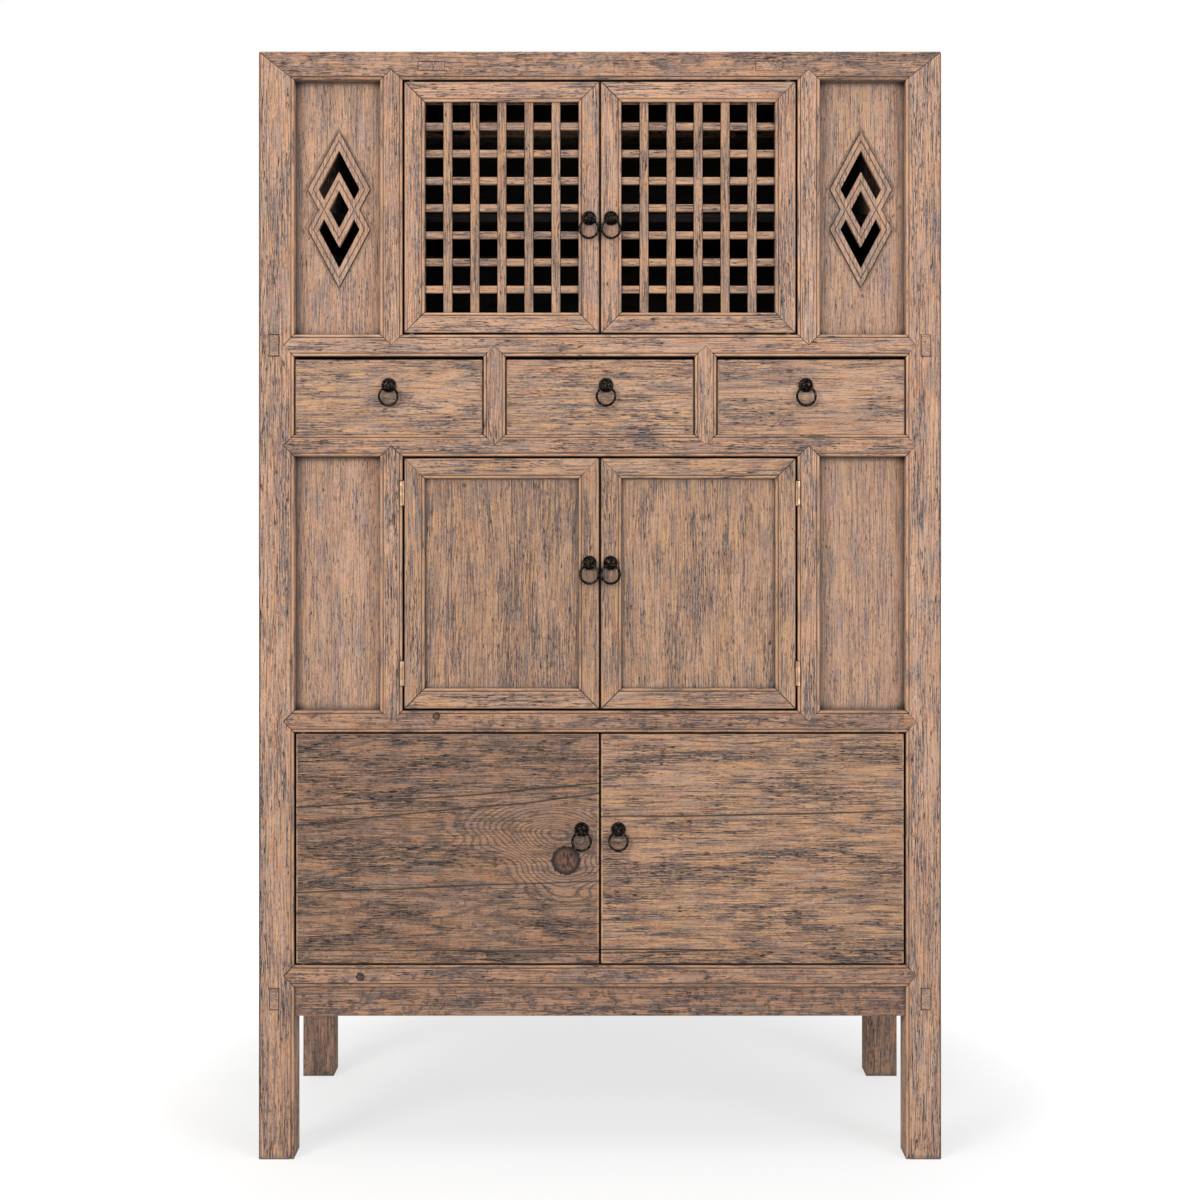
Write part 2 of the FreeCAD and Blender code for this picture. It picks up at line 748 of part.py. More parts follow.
# Uprights of the front
STILE_CENTRE = "-(%s)" % STILE[0]
upper_stile = stile("upper_stile", STILE_CENTRE, "stile_width", "waist_rail_top", "top_rail_bottom",
                    groove=True)
middle_stile = stile("middle_stile", STILE_CENTRE, "stile_width", "lower_rail_top", "drawer_rail_bottom",
                     groove=True)
HINGE_PLACES = ("middle_door_bottom + hinge_inset", "middle_door_top - hinge_inset - hinge_height")
recess_width = ("-door_half - hinge_axis_inset - knuckle_radius - knuckle_play", "-door_half")
recess_depth = ("0", "hinge_axis_back + knuckle_radius + knuckle_play")
for hinge_bottom in HINGE_PLACES:
    recess_height = (hinge_bottom + " - knuckle_play", hinge_bottom + " + hinge_height + knuckle_play")
    cut_block(middle_stile, "hinge_recess", recess_width, recess_depth, recess_height)
group("door_stiles", [upper_stile, middle_stile, mirrored(upper_stile, "upper_stile_right"),
                      mirrored(middle_stile, "middle_stile_right")])
divider = stile("drawer_divider", "-divider_centre", "divider_width", "drawer_rail_top", "waist_rail_bottom")
pair(divider, "drawer_dividers")


# Side frames
def side_rail(name, low, high):
    """A rail of the left side frame, with grooves for the panels above and below it."""
    where = {"x": "-half_width", "y": "cabinet_depth / 2", "axis": (0, 0, 1), "angle": -90}
    body = rail(name, "side_half_span", low, high, "side_rail_depth", through_tenon(low, high), **where)
    depth = ("side_panel_setback", "side_panel_setback + panel_thickness")
    span = ("-side_half_span", "side_half_span")
    cut_block(body, name + "_groove", span, depth, (high + " - groove_depth", high))
    if name != "side_rail_low":
        cut_block(body, name + "_groove", span, depth, (low, low + " + groove_depth"))
    return body


side_low = side_rail("side_rail_low", "side_rail_bottom", "side_rail_top")
side_high = side_rail("side_rail_high", "waist_rail_bottom", "waist_rail_top")
group("side_rails", [side_low, side_high, mirrored(side_low, "side_rail_low_right"),
                     mirrored(side_high, "side_rail_high_right")])


def side_panel(name, low, high):
    """A plain panel of the left side, in grooves all round."""
    outer = "-half_width + side_panel_setback"
    thickness = (outer, outer + " + panel_thickness")
    return tongued_panel(name, "x", (thickness, ("post_depth", "cabinet_depth - post_depth"), (low, high)))


side_panel_low = side_panel("side_panel_low", "side_rail_top", "waist_rail_bottom")
side_panel_high = side_panel("side_panel_high", "waist_rail_top", "top_rail_bottom")
group("side_panels", [side_panel_low, side_panel_high, mirrored(side_panel_low, "side_panel_low_right"),
                      mirrored(side_panel_high, "side_panel_high_right")])


# Back
def back_rail(name, low, high):
    """A plain rail between the back posts, grooved for the back panels."""
    where = {"y": "cabinet_depth", "axis": (0, 0, 1), "angle": 180}
    tenon = blind_tenon(low, high)
    body = rail(name, "inner_half", low, high, "back_rail_depth", tenon, (False, False), False, **where)
    span = ("-inner_half", "inner_half")
    depth = ("back_panel_setback", "back_panel_setback + panel_thickness")
    cut_block(body, name + "_groove", span, depth, (high + " - groove_depth", high))
    if name != "back_rail_1":
        cut_block(body, name + "_groove", span, depth, (low, low + " + groove_depth"))
    return body


group("back_rails", [back_rail("back_rail_%d" % (i + 1), low, high)
                     for i, (low, high, pointed) in enumerate(BACK_RAILS)])

back_face = "cabinet_depth - back_panel_setback"
back_depth = (back_face + " - panel_thickness", back_face)
back_panels = []
for i, (below, below_top, pointed) in enumerate(BACK_RAILS):
    above = BACK_RAILS[i + 1][0] if i + 1 < len(BACK_RAILS) else "top_rail_bottom"
    limits = (("-inner_half", "inner_half"), back_depth, (below_top, above))
    back_panels.append(tongued_panel("back_panel_%d" % (i + 1), "y", limits))
group("back_panels", back_panels)


# Boards inside
def notched_board(name, low, side, front="rail_depth"):
    """A shelf between the side panels, notched round the four posts."""
    body = new_body(name)
    back = "cabinet_depth - back_rail_depth"
    post_back = "cabinet_depth - post_depth"
    corner = [(side, "post_depth"), ("inner_half", "post_depth"), ("inner_half", front)]
    rear = [("inner_half", back), ("inner_half", post_back), (side, post_back)]
    if front != "rail_depth":
        corner = [(side, front)]
    right = rear + corner
    left = [("-(%s)" % x, y) for x, y in right[::-1]]
    pad(body, sketch(body, name + "_plan", "XY", [right + left], low), "board_thickness")
    return body


panel_face = "half_width - side_panel_setback - panel_thickness"
shelf_low = "waist_rail_top + shelf_rise - board_thickness"
node(notched_board("upper_shelf", shelf_low, panel_face, "shelf_setback"), "upper_shelf")
floors = [
    notched_board("upper_floor", "waist_rail_bottom", "half_width - side_rail_depth"),
    notched_board("drawer_floor", "drawer_rail_top - board_thickness", panel_face),
    notched_board("middle_floor", "lower_rail_top - board_thickness", panel_face),
    notched_board("bottom_floor", "foot_rail_top - board_thickness", panel_face),
]
group("floor_boards", floors)

BOARD_UNDERSIDES = (
    shelf_low,
    "waist_rail_bottom",
    "drawer_rail_top - board_thickness",
    "lower_rail_top - board_thickness",
    "foot_rail_top - board_thickness",
)
bearers = []
for i, under in enumerate(BOARD_UNDERSIDES):
    bearer = board(
        "shelf_bearer_%d" % (i + 1),
        ("-(%s)" % panel_face, "-(%s) + bearer_width" % panel_face),
        ("post_depth", "cabinet_depth - post_depth"),
        (under + " - bearer_height", under),
    )
    bearers += [bearer, mirrored(bearer, "shelf_bearer_right_%d" % (i + 1))]
group("shelf_bearers", bearers)

guide_top = ("drawer_rail_top", "drawer_rail_top + guide_height")
inner_guide = board(
    "drawer_guide_inner",
    ("-divider_centre - divider_width / 2", "-divider_centre + divider_width / 2"),
    ("rail_depth", "cabinet_depth - back_rail_depth"),
    guide_top,
)
outer_guide = board(
    "drawer_guide_outer",
    ("-inner_half - outer_guide_width", "-inner_half"),
    ("post_depth", "cabinet_depth - post_depth"),
    guide_top,
)
group("drawer_guides", [inner_guide, outer_guide, mirrored(inner_guide, "drawer_guide_inner_right"),
                        mirrored(outer_guide, "drawer_guide_outer_right")])


# Carved side panels
def double_diamond(half_width, half_height):
    """Outline of two diamonds of one size that overlap, one above the other."""
    shift = "diamond_spacing / 2"
    waist = "%s * (1 - %s / (%s))" % (half_width, shift, half_height)
    tip = "(%s + %s)" % (shift, half_height)
    right = [(half_width, shift), (waist, "0"), (half_width, "-" + shift)]
    left = [("-(%s)" % x, z) for x, z in right[::-1]]
    return [("0", tip)] + right + [("0", "-" + tip)] + left


def diamond(half_width, half_height, side):
    """Outline of the upper or the lower diamond by itself."""
    shift = side + "diamond_spacing / 2"
    return [
        ("0", "%s + %s" % (shift, half_height)),
        (half_width, shift),
        ("0", "%s - (%s)" % (shift, half_height)),
        ("-(%s)" % half_width, shift),
    ]


def chevron(side):
    """Opening inside one diamond, up to the outer edge of the other diamond that crosses it."""
    slope = "(hole_half_width / hole_half_height + diamond_half_width / diamond_half_height)"
    lean = "(hole_half_width / hole_half_height - diamond_half_width / diamond_half_height)"
    shift = "diamond_spacing / 2"
    cross_z = "((diamond_half_width - hole_half_width + %s * %s) / %s)" % (shift, lean, slope)
    cross_x = "hole_half_width * (1 - (%s - %s) / hole_half_height)" % (shift, cross_z)
    return [
        ("0", side + "(%s + hole_half_height)" % shift),
        ("hole_half_width", side + "(%s)" % shift),
        (cross_x, side + cross_z),
        ("0", side + "(diamond_half_height - %s)" % shift),
        ("-(%s)" % cross_x, side + cross_z),
        ("-hole_half_width", side + "(%s)" % shift),
    ]


def carved_panel(name):
    """A side panel pierced with two interlaced diamonds that stand in a sloping sinking."""
    centre = middle("-inner_half", "-stile_outer")
    height = middle("waist_rail_top", "top_rail_bottom")
    half_width = "(inner_half - stile_outer) / 2"
    limits = (
        ("-" + half_width, half_width),
        ("0", "panel_thickness"),
        ("-upper_opening / 2", "upper_opening / 2"),
    )
    body = tongued_panel(name, "y", limits, x=centre, y="panel_setback", z=height)
    # The sinking slopes from the panel's face down to the foot of the diamonds
    rim = sketch(body, "sinking_rim", "XZ", [double_diamond("sink_half_width", "sink_half_height")])
    foot = sketch(body, "sinking_foot", "XZ", [double_diamond("diamond_half_width", "diamond_half_height")],
                  "-sink_depth")
    sinking = body.newObject("PartDesign::SubtractiveLoft", "sinking")
    sinking.Profile = rim
    sinking.Sections = [foot]
    sinking.Ruled = True
    # The diamonds stand back up from its floor
    rings = sketch(body, "diamonds", "XZ", [double_diamond("diamond_half_width", "diamond_half_height")],
                   "-sink_depth")
    pad(body, rings, "diamond_rise")
    # Openings inside and between the diamonds
    waist = "hole_half_width * (1 - diamond_spacing / 2 / hole_half_height)"
    tip = "hole_half_height - diamond_spacing / 2"
    eye = [("0", tip), (waist, "0"), ("0", "-(%s)" % tip), ("-(%s)" % waist, "0")]
    holes = sketch(body, "openings", "XZ", [chevron(""), eye, chevron("-")])
    pocket(body, holes, "panel_thickness")
    # A line cut along the middle of each diamond
    for side in ("", "-"):
        loops = []
        for sign in ("+", "-"):
            across = middle("hole_half_width", "diamond_half_width") + " %s line_width / 2" % sign
            along = "(%s) / hole_half_width * hole_half_height" % across
            loops.append(diamond("(%s)" % across, "(%s)" % along, side))
        line = sketch(body, "line", "XZ", loops, "-(sink_depth - diamond_rise)")
        pocket(body, line, "line_depth")
    return body


carved = node(carved_panel("carved_panel_left"), "carved_panel_left")
node(mirrored(carved, "carved_panel_right"), "carved_panel_right")

middle_limits = (
    ("-inner_half", "-stile_outer"),
    ("panel_setback", "panel_setback + panel_thickness"),
    ("lower_rail_top", "drawer_rail_bottom"),
)
middle_panel = tongued_panel("middle_panel", "y", middle_limits)
pair(middle_panel, "panels_beside_middle_doors")


# Doors
def frame_member(name, length, full_ends, **where):
    """One side of a door frame, along x, with its outer edge at z = 0 and a bead on its inner edge."""
    body = new_body(name, **where)
    low_edge, high_edge = eased_edge("0", "+"), beaded_edge("door_frame_width", "-")
    profile = turned(section(low_edge, high_edge, "0", "door_frame_width", "door_thickness"))
    half = "(%s) / 2" % length
    pad(body, sketch(body, name + "_section", "YZ", [profile], "-" + half), length)
    inner = "%s - door_frame_width" % half
    mitres = []
    for side in ("-", ""):
        mitres.append([
            (side + half, "0"),
            (side + half, "door_frame_width"),
            ("%s(%s)" % (side, inner), "door_frame_width"),
        ])
        if not full_ends:
            ends = ("-" + half, "-(%s)" % inner) if side else (inner, half)
            cut_block(body, name + "_shoulder", ends, ("door_mitre_depth", "door_thickness"),
                      ("0", "door_frame_width"))
    pocket(body, sketch(body, name + "_mitres", "XZ", mitres), "door_mitre_depth")
    return body


PIVOT_REACH = "door_gap + pivot_length - pivot_play"


def door_pivots(body, length):
    """The wooden pins at both ends of a hinge stile."""
    for side in ("-", ""):
        start = "-(%s) / 2 - (%s)" % (length, PIVOT_REACH) if side else "(%s) / 2" % length
        pin = round_piece(body, "pivot_pin", "pivot_radius", PIVOT_REACH, x=start, y="pivot_back",
                          z="pivot_inset")
        pin.Placement.Rotation = FreeCAD.Rotation(FreeCAD.Vector(0, 1, 0), 90)


def door_frame(name, low, high, fill_front, fill_back, pull, pivoted):
    """Four mitred members round the opening of a left-hand door."""
    height = "(%s) - (%s)" % (high, low)
    width = "door_meeting - door_outer"
    centre_x = middle("door_outer", "door_meeting")
    centre_z = middle(low, high)
    sides = [
        ("hinge_stile", height, True, {"x": "door_outer", "z": centre_z, "angle": 90}),
        ("meeting_stile", height, True, {"x": "door_meeting", "z": centre_z, "angle": -90}),
        ("bottom_rail", width, False, {"x": centre_x, "z": low, "angle": 0}),
        ("top_rail", width, False, {"x": centre_x, "z": high, "angle": 180}),
    ]
    members = []
    for side, length, full_ends, where in sides:
        member = frame_member(name + "_" + side, length, full_ends, y="door_setback", axis=(0, 1, 0), **where)
        half = "(%s) / 2" % length
        span = ("-%s + door_frame_width" % half, "%s - door_frame_width" % half)
        if full_ends:
            span = ("-%s + door_frame_width - door_groove_depth" % half,
                    "%s - door_frame_width + door_groove_depth" % half)
        cut_block(member, name + "_groove", span, (fill_front, fill_back),
                  ("door_frame_width - door_groove_depth", "door_frame_width"))
        if side == "hinge_stile" and pivoted:
            door_pivots(member, length)
        if side == "meeting_stile":
            # The stile is turned so that its x runs up the door
            place_x = "(%s) - (%s)" % (pull["z"], centre_z)
            place_z = "door_meeting + %s" % pull["offset"]
            cut_block(member, name + "_pull_hole", ("%s - pin_leg_thickness" % place_x,
                                                    "%s + pin_leg_thickness" % place_x),
                      ("0", "door_thickness"),
                      ("%s - pin_width / 2" % place_z, "%s + pin_width / 2" % place_z))
        members.append(member)
    return group(name, members)


def bar(name, length, width, front, back, notch, count, step, across, **where):
    """A lattice bar along x, half-lapped at even steps; notch gives the depth that the laps take."""
    body = new_body(name, **where)
    half = "(%s) / 2" % length
    add_block(body, name + "_bar", ("-" + half, half), (front, back), ("-%s / 2" % width, "%s / 2" % width))
    start = "-(%s) * (%s - 1) / 2" % (step, count)
    lap_length = ("%s - %s / 2" % (start, across), "%s + %s / 2" % (start, across))
    lap = cut_block(body, name + "_lap", lap_length, notch, ("-%s / 2" % width, "%s / 2" % width))
    laps = body.newObject("PartDesign::LinearPattern", name + "_laps")
    laps.Originals = [lap]
    axis = next(item for item in body.Origin.OriginFeatures if item.Role == "X_Axis")
    laps.Direction = (axis, [""])
    bind(laps, "Length", "(%s) * (%s - 1)" % (step, count))
    bind(laps, "Occurrences", count)
    body.Tip = laps
    return body


def lattice(name, low, high):
    """Upright and cross bars of a left-hand upper door, each one a piece of its own."""
    inner_height = "(%s) - (%s) - 2 * door_frame_width" % (high, low)
    hole_width = "(door_inner_width - upright_bars * upright_width) / (upright_bars + 1)"
    hole_height = "(%s - cross_bars * crossbar_width) / (cross_bars + 1)" % inner_height
    step_x = "(%s + upright_width)" % hole_width
    step_z = "(%s + crossbar_width)" % hole_height
    centre_x = middle("door_outer", "door_meeting")
    centre_z = middle(low, high)
    length_z = "%s + 2 * (door_groove_depth - panel_play)" % inner_height
    length_x = "door_inner_width + 2 * (door_groove_depth - panel_play)"
    bars = []
    for i in range(SIZES["upright_bars"]):
        x = "%s + %s * (%d - (upright_bars - 1) / 2)" % (centre_x, step_x, i)
        where = {"x": x, "y": "door_setback", "z": centre_z, "axis": (0, 1, 0), "angle": 90}
        bars.append(bar("%s_upright_%d" % (name, i + 1), length_z, "upright_width", "upright_setback",
                        "bar_back", ("lap_setback", "bar_back"), "cross_bars", step_z, "crossbar_width",
                        **where))
    for i in range(SIZES["cross_bars"]):
        z = "%s + %s * (%d - (cross_bars - 1) / 2)" % (centre_z, step_z, i)
        where = {"x": centre_x, "y": "door_setback", "z": z}
        bars.append(bar("%s_cross_%d" % (name, i + 1), length_x, "crossbar_width", "crossbar_setback",
                        "bar_back", ("crossbar_setback", "lap_setback"), "upright_bars", step_x,
                        "upright_width", **where))
    return group(name, bars)


upper_pull = {
    "offset": "upper_pull_offset",
    "z": middle("upper_door_bottom", "upper_door_top") + " - upper_pull_drop",
}
upper_frame = door_frame("upper_door_left_frame", "upper_door_bottom", "upper_door_top", "upright_setback",
                         "bar_back", upper_pull, True)
node(mirrored(upper_frame, "upper_door_right_frame"), "upper_door_right_frame")
upper_lattice = lattice("upper_door_left_lattice", "upper_door_bottom", "upper_door_top")
node(mirrored(upper_lattice, "upper_door_right_lattice"), "upper_door_right_lattice")

middle_pull = {
    "offset": "middle_pull_offset",
    "z": middle("middle_door_bottom", "middle_door_top") + " + middle_pull_rise",
}
panel_back = "door_panel_setback + door_panel_thickness"
middle_frame = door_frame("middle_door_left_frame", "middle_door_bottom", "middle_door_top",
                          "door_panel_setback", panel_back, middle_pull, False)
node(mirrored(middle_frame, "middle_door_right_frame"), "middle_door_right_frame")
door_inset = "(door_frame_width - door_groove_depth + panel_play)"
door_panel = board(
    "middle_door_panel",
    ("door_outer + " + door_inset, "door_meeting - " + door_inset),
    ("door_setback + door_panel_setback", "door_setback + " + panel_back),
    ("middle_door_bottom + " + door_inset, "middle_door_top - " + door_inset),
)
node(door_panel, "middle_door_left_panel")
node(mirrored(door_panel, "middle_door_right_panel"), "middle_door_right_panel")

# Butt hinges: the stile's leaf carries two knuckles and the pin, the door's leaf the knuckle between them
AXIS_X = "-door_half - hinge_axis_inset"
KNUCKLE = "(hinge_height - 2 * knuckle_play) / 3"


def hinge_leaf(name, bottom, fixed):
    """One leaf of a butt hinge on the left middle door."""
    body = new_body(name, x=AXIS_X, y="hinge_axis_back", z=bottom)
    edge = "hinge_axis_inset" if fixed else "hinge_axis_inset + door_gap - leaf_thickness"
    plate = (edge, edge + " + leaf_thickness")
    add_block(body, name + "_plate", plate, ("-leaf_thickness / 2", "leaf_depth"), ("0", "hinge_height"))
    knuckles = [("0", KNUCKLE), ("hinge_height - " + KNUCKLE, "hinge_height")]
    if not fixed:
        knuckles = [(KNUCKLE + " + knuckle_play", "hinge_height - %s - knuckle_play" % KNUCKLE)]
    web = ("-leaf_thickness / 2", "leaf_thickness / 2")
    for low, high in knuckles:
        add_block(body, name + "_web", ("0", edge), web, (low, high))
        round_piece(body, name + "_knuckle", "knuckle_radius", "(%s) - (%s)" % (high, low), z=low)
    pin_radius = "hinge_pin_radius" if fixed else "hinge_pin_radius + knuckle_play"
    round_piece(body, name + "_pin", pin_radius, "hinge_height", cut=not fixed)
    if fixed:
        # The plate is cut back where the door's knuckle and its web turn
        cut_block(body, name + "_relief", plate, ("-leaf_thickness / 2", "knuckle_radius + knuckle_play"),
                  (KNUCKLE, "hinge_height - " + KNUCKLE))
    return body


def hinges(fixed):
    """Both leaves of one kind on the left middle door."""
    kind = "stile" if fixed else "door"
    return [hinge_leaf("%s_leaf_%d" % (kind, i + 1), bottom, fixed) for i, bottom in enumerate(HINGE_PLACES)]


stile_leaves = hinges(True)
stile_leaves += [mirrored(leaf, leaf.Name + "_right") for leaf in stile_leaves]
group("hinge_leaves_on_stiles", stile_leaves)
door_leaves = group("middle_door_left_hinge_leaves", hinges(False))
node(mirrored(door_leaves, "middle_door_right_hinge_leaves"), "middle_door_right_hinge_leaves")


LOWER_PULL_Z = middle("lower_door_bottom", "lower_door_top") + " + lower_pull_rise"


def plank_door(name):
    """The left bottom door: a wide plank and a strip, held by two battens behind."""
    seam = "lower_door_bottom + plank_strip_height"
    pieces = []
    pull_x = "-lower_pull_offset"
    for piece, low, high in (("strip", "lower_door_bottom", seam), ("plank", seam, "lower_door_top")):
        body = new_body(name + "_" + piece, y="door_setback")
        profile = section(eased_edge("plank_outer", "+"), eased_edge("door_meeting", "-"), "plank_outer",
                          "door_meeting", "plank_thickness")
        drawn = sketch(body, name + "_section", "XY", [profile], low)
        pad(body, drawn, "%s - (%s)" % (high, low))
        start = high if piece == "plank" else "%s - (%s)" % (low, PIVOT_REACH)
        round_piece(body, "pivot_pin", "pivot_radius", PIVOT_REACH, x="plank_outer + pivot_inset",
                    y="pivot_back", z=start)
        if piece == "plank":
            cut_block(body, name + "_pull_hole", (pull_x + " - pin_width / 2", pull_x + " + pin_width / 2"),
                      ("0", "plank_thickness"),
                      ("%s - pin_leg_thickness" % LOWER_PULL_Z, "%s + pin_leg_thickness" % LOWER_PULL_Z))
        pieces.append(body)
    for side, edge in (("outer", "plank_outer + plank_batten_inset"),
                       ("inner", "door_meeting - plank_batten_inset - plank_batten_width")):
        pieces.append(
            board(
                name + "_batten_" + side,
                (edge, edge + " + plank_batten_width"),
                ("door_setback + plank_thickness", "door_setback + plank_thickness + plank_batten_depth"),
                ("lower_door_bottom + edge_ease", "lower_door_top - edge_ease"),
            )
        )
    return group(name, pieces)


bottom_door = plank_door("bottom_door_left")
node(mirrored(bottom_door, "bottom_door_right"), "bottom_door_right")


# Drawers
DRAWER_LOW = "drawer_rail_top + drawer_lift"
DRAWER_TOP = "waist_rail_bottom - drawer_top_gap"
DRAWER_PULL_Z = middle(DRAWER_LOW, DRAWER_TOP) + " + drawer_pull_rise"


def drawer(name, centre, pull_x):
    """A drawer: its front with eased edges, two sides, a back and a floor in their grooves."""
    half = "(drawer_opening_width / 2 - drawer_gap)"
    left = "%s - %s" % (centre, half)
    right = "%s + %s" % (centre, half)
    face = new_body(name + "_face", y="door_setback")
    profile = section(eased_edge(left, "+"), eased_edge(right, "-"), left, right, "drawer_front_thickness")
    drawn = sketch(face, name + "_section", "XY", [profile], DRAWER_LOW)
    pad(face, drawn, "%s - (%s)" % (DRAWER_TOP, DRAWER_LOW))
    cut_block(face, name + "_pull_hole", ("%s - pin_width / 2" % pull_x, "%s + pin_width / 2" % pull_x),
              ("0", "drawer_front_thickness"),
              ("%s - pin_leg_thickness" % DRAWER_PULL_Z, "%s + pin_leg_thickness" % DRAWER_PULL_Z))
    front = "door_setback + drawer_front_thickness"
    back = "door_setback + drawer_length"
    side_top = DRAWER_LOW + " + drawer_side_height"
    pieces = [face]
    for side, edge in (("left", left), ("right", right + " - drawer_side_thickness")):
        pieces.append(board(name + "_side_" + side, (edge, edge + " + drawer_side_thickness"), (front, back),
                            (DRAWER_LOW, side_top)))
    inner = (left + " + drawer_side_thickness", right + " - drawer_side_thickness")
    floor_low = DRAWER_LOW + " + drawer_floor_rise"
    back_front = back + " - drawer_side_thickness"
    pieces.append(board(name + "_back", inner, (back_front, back), (DRAWER_LOW, side_top)))
    pieces.append(board(name + "_floor", inner, (front, back_front),
                        (floor_low, floor_low + " + drawer_floor_thickness")))
    return group(name, pieces)


DRAWERS = (
    ("left", "-drawer_centre", "-drawer_centre"),
    ("centre", "0", "centre_pull_shift"),
    ("right", "drawer_centre", "drawer_centre - right_pull_shift"),
)
for drawer_side, drawer_middle, drawer_pull in DRAWERS:
    drawer("drawer_" + drawer_side, drawer_middle, drawer_pull)


# Ring pulls
def regular(radius, phase=0.0):
    """A regular polygon of the given radius across its corners, as unit places that the radius scales."""
    turns = [math.tau * (i + phase) / ROUND_SIDES for i in range(ROUND_SIDES)]
    return [("(%s) * %.9f" % (radius, math.cos(t)), "(%s) * %.9f" % (radius, math.sin(t))) for t in turns]


def pull_boss(name, x, y, z, behind):
    """A round boss with a dished face and a nose for the ring; its split pin is spread behind the wood."""
    body = new_body(name, x=x, y=y, z=z)
    rim = "(boss_radius - boss_bevel)"
    pad(body, sketch(body, name + "_base", "XZ", [regular("boss_radius")]), "boss_thickness - boss_bevel")
    pad(body, sketch(body, name + "_rim", "XZ", [regular(rim)], "boss_thickness - boss_bevel"), "boss_bevel")
    dish = sketch(body, name + "_dish", "XZ", [regular("dish_radius")], "boss_thickness")
    pocket(body, dish, "dish_depth")
    # The nose stands out from the dish, with the ring's hole through it
    nose_half = "(ring_hole_radius + nose_wall)"
    add_block(body, name + "_nose", ("-nose_width / 2", "nose_width / 2"), ("-nose_reach", "-boss_bevel"),
              ("-ring_pivot_drop - " + nose_half, "-ring_pivot_drop + " + nose_half))
    hole = round_piece(body, name + "_hole", "ring_hole_radius", "nose_width", x="-nose_width / 2",
                       y="-ring_plane", z="-ring_pivot_drop", cut=True)
    hole.Placement.Rotation = FreeCAD.Rotation(FreeCAD.Vector(0, 1, 0), 90)
    # Split pin
    pin_across = ("-pin_width / 2", "pin_width / 2")
    pin_back = behind + " + pin_leg_thickness"
    add_block(body, name + "_pin", pin_across, ("0", pin_back), ("-pin_leg_thickness", "pin_leg_thickness"))
    add_block(body, name + "_legs", pin_across, (behind, pin_back), ("-pin_leg_length", "pin_leg_length"))
    return node(body, name)


def pull_ring(name, x, y, z):
    """A ring of round wire, drawn with flats, hanging in the nose."""
    body = new_body(name, x=x, y="%s - ring_plane" % y, z="%s - ring_pivot_drop - ring_radius" % z)
    corner = 1 / math.cos(math.pi / ROUND_SIDES)
    outer = "(ring_radius + ring_wire_radius) * %.9f" % corner
    inner = "(ring_radius - ring_wire_radius) * %.9f" % corner
    loops = [regular(outer, 0.5), regular(inner, 0.5)]
    drawn = sketch(body, name + "_ring", "XZ", loops, "-ring_wire_radius")
    flat_ring = pad(body, drawn, "2 * ring_wire_radius")
    doc.recompute()
    round_edges = [
        "Edge%d" % number
        for number, edge in enumerate(flat_ring.Shape.Edges, start=1)
        if abs(edge.Vertexes[0].Y - edge.Vertexes[1].Y) < derived.ring_hole_radius / 2
    ]
    chamfer = body.newObject("PartDesign::Chamfer", name + "_chamfer")
    chamfer.Base = (flat_ring, round_edges)
    bind(chamfer, "Size", "ring_wire_radius * (2 - sqrt(2))")
    return node(body, name)


PULLS = (
    ("upper_door_left", "-upper_pull_offset", upper_pull["z"], "door_thickness"),
    ("upper_door_right", "upper_pull_offset", upper_pull["z"], "door_thickness"),
    ("drawer_left", "-drawer_centre", DRAWER_PULL_Z, "drawer_front_thickness"),
    ("drawer_centre", "centre_pull_shift", DRAWER_PULL_Z, "drawer_front_thickness"),
    ("drawer_right", "drawer_centre - right_pull_shift", DRAWER_PULL_Z, "drawer_front_thickness"),
    ("middle_door_left", "-middle_pull_offset", middle_pull["z"], "door_thickness"),
    ("middle_door_right", "middle_pull_offset", middle_pull["z"], "door_thickness"),
    ("bottom_door_left", "-lower_pull_offset", LOWER_PULL_Z, "plank_thickness"),
    ("bottom_door_right", "lower_pull_offset", LOWER_PULL_Z, "plank_thickness"),
)
for holder, pull_x, pull_z, wood in PULLS:
    pull_boss(holder + "_pull_boss", pull_x, "door_setback", pull_z, wood)
    pull_ring(holder + "_pull_ring", pull_x, "door_setback", pull_z)

doc.recompute()

# Everything must have come out whole before it is written
for thing in doc.Objects:
    if "Invalid" in thing.State or "Error" in thing.State:
        raise RuntimeError("%s failed: %s" % (thing.Name, thing.State))
for thing in NODES:
    if thing.Shape.isNull() or not thing.Shape.isValid():
        raise RuntimeError("%s has no valid shape" % thing.Label)

os.makedirs("parts", exist_ok=True)
for thing in NODES:
    thing.Shape.exportStep(os.path.join("parts", thing.Label + ".step"))
    print("%-34s %2d solids %9.1f cm3" % (thing.Label, len(thing.Shape.Solids), thing.Shape.Volume / 1000))
print(len(NODES), "sub-parts")
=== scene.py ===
# %% [markdown]
# A Chinese book cabinet in old elm, limed and sanded back until only the pores and corners keep their
# darker colour; the dark in the corners is partly painted shade. The imported model gives every board at
# its true size, so the work here is finish: softened edges, grain that runs along each board, black iron
# ring pulls and small steel hinges.

# %% Load the frame
import json
import math
import random

import bmesh
import bpy
from mathutils import Matrix, Vector
from mathutils.bvhtree import BVHTree

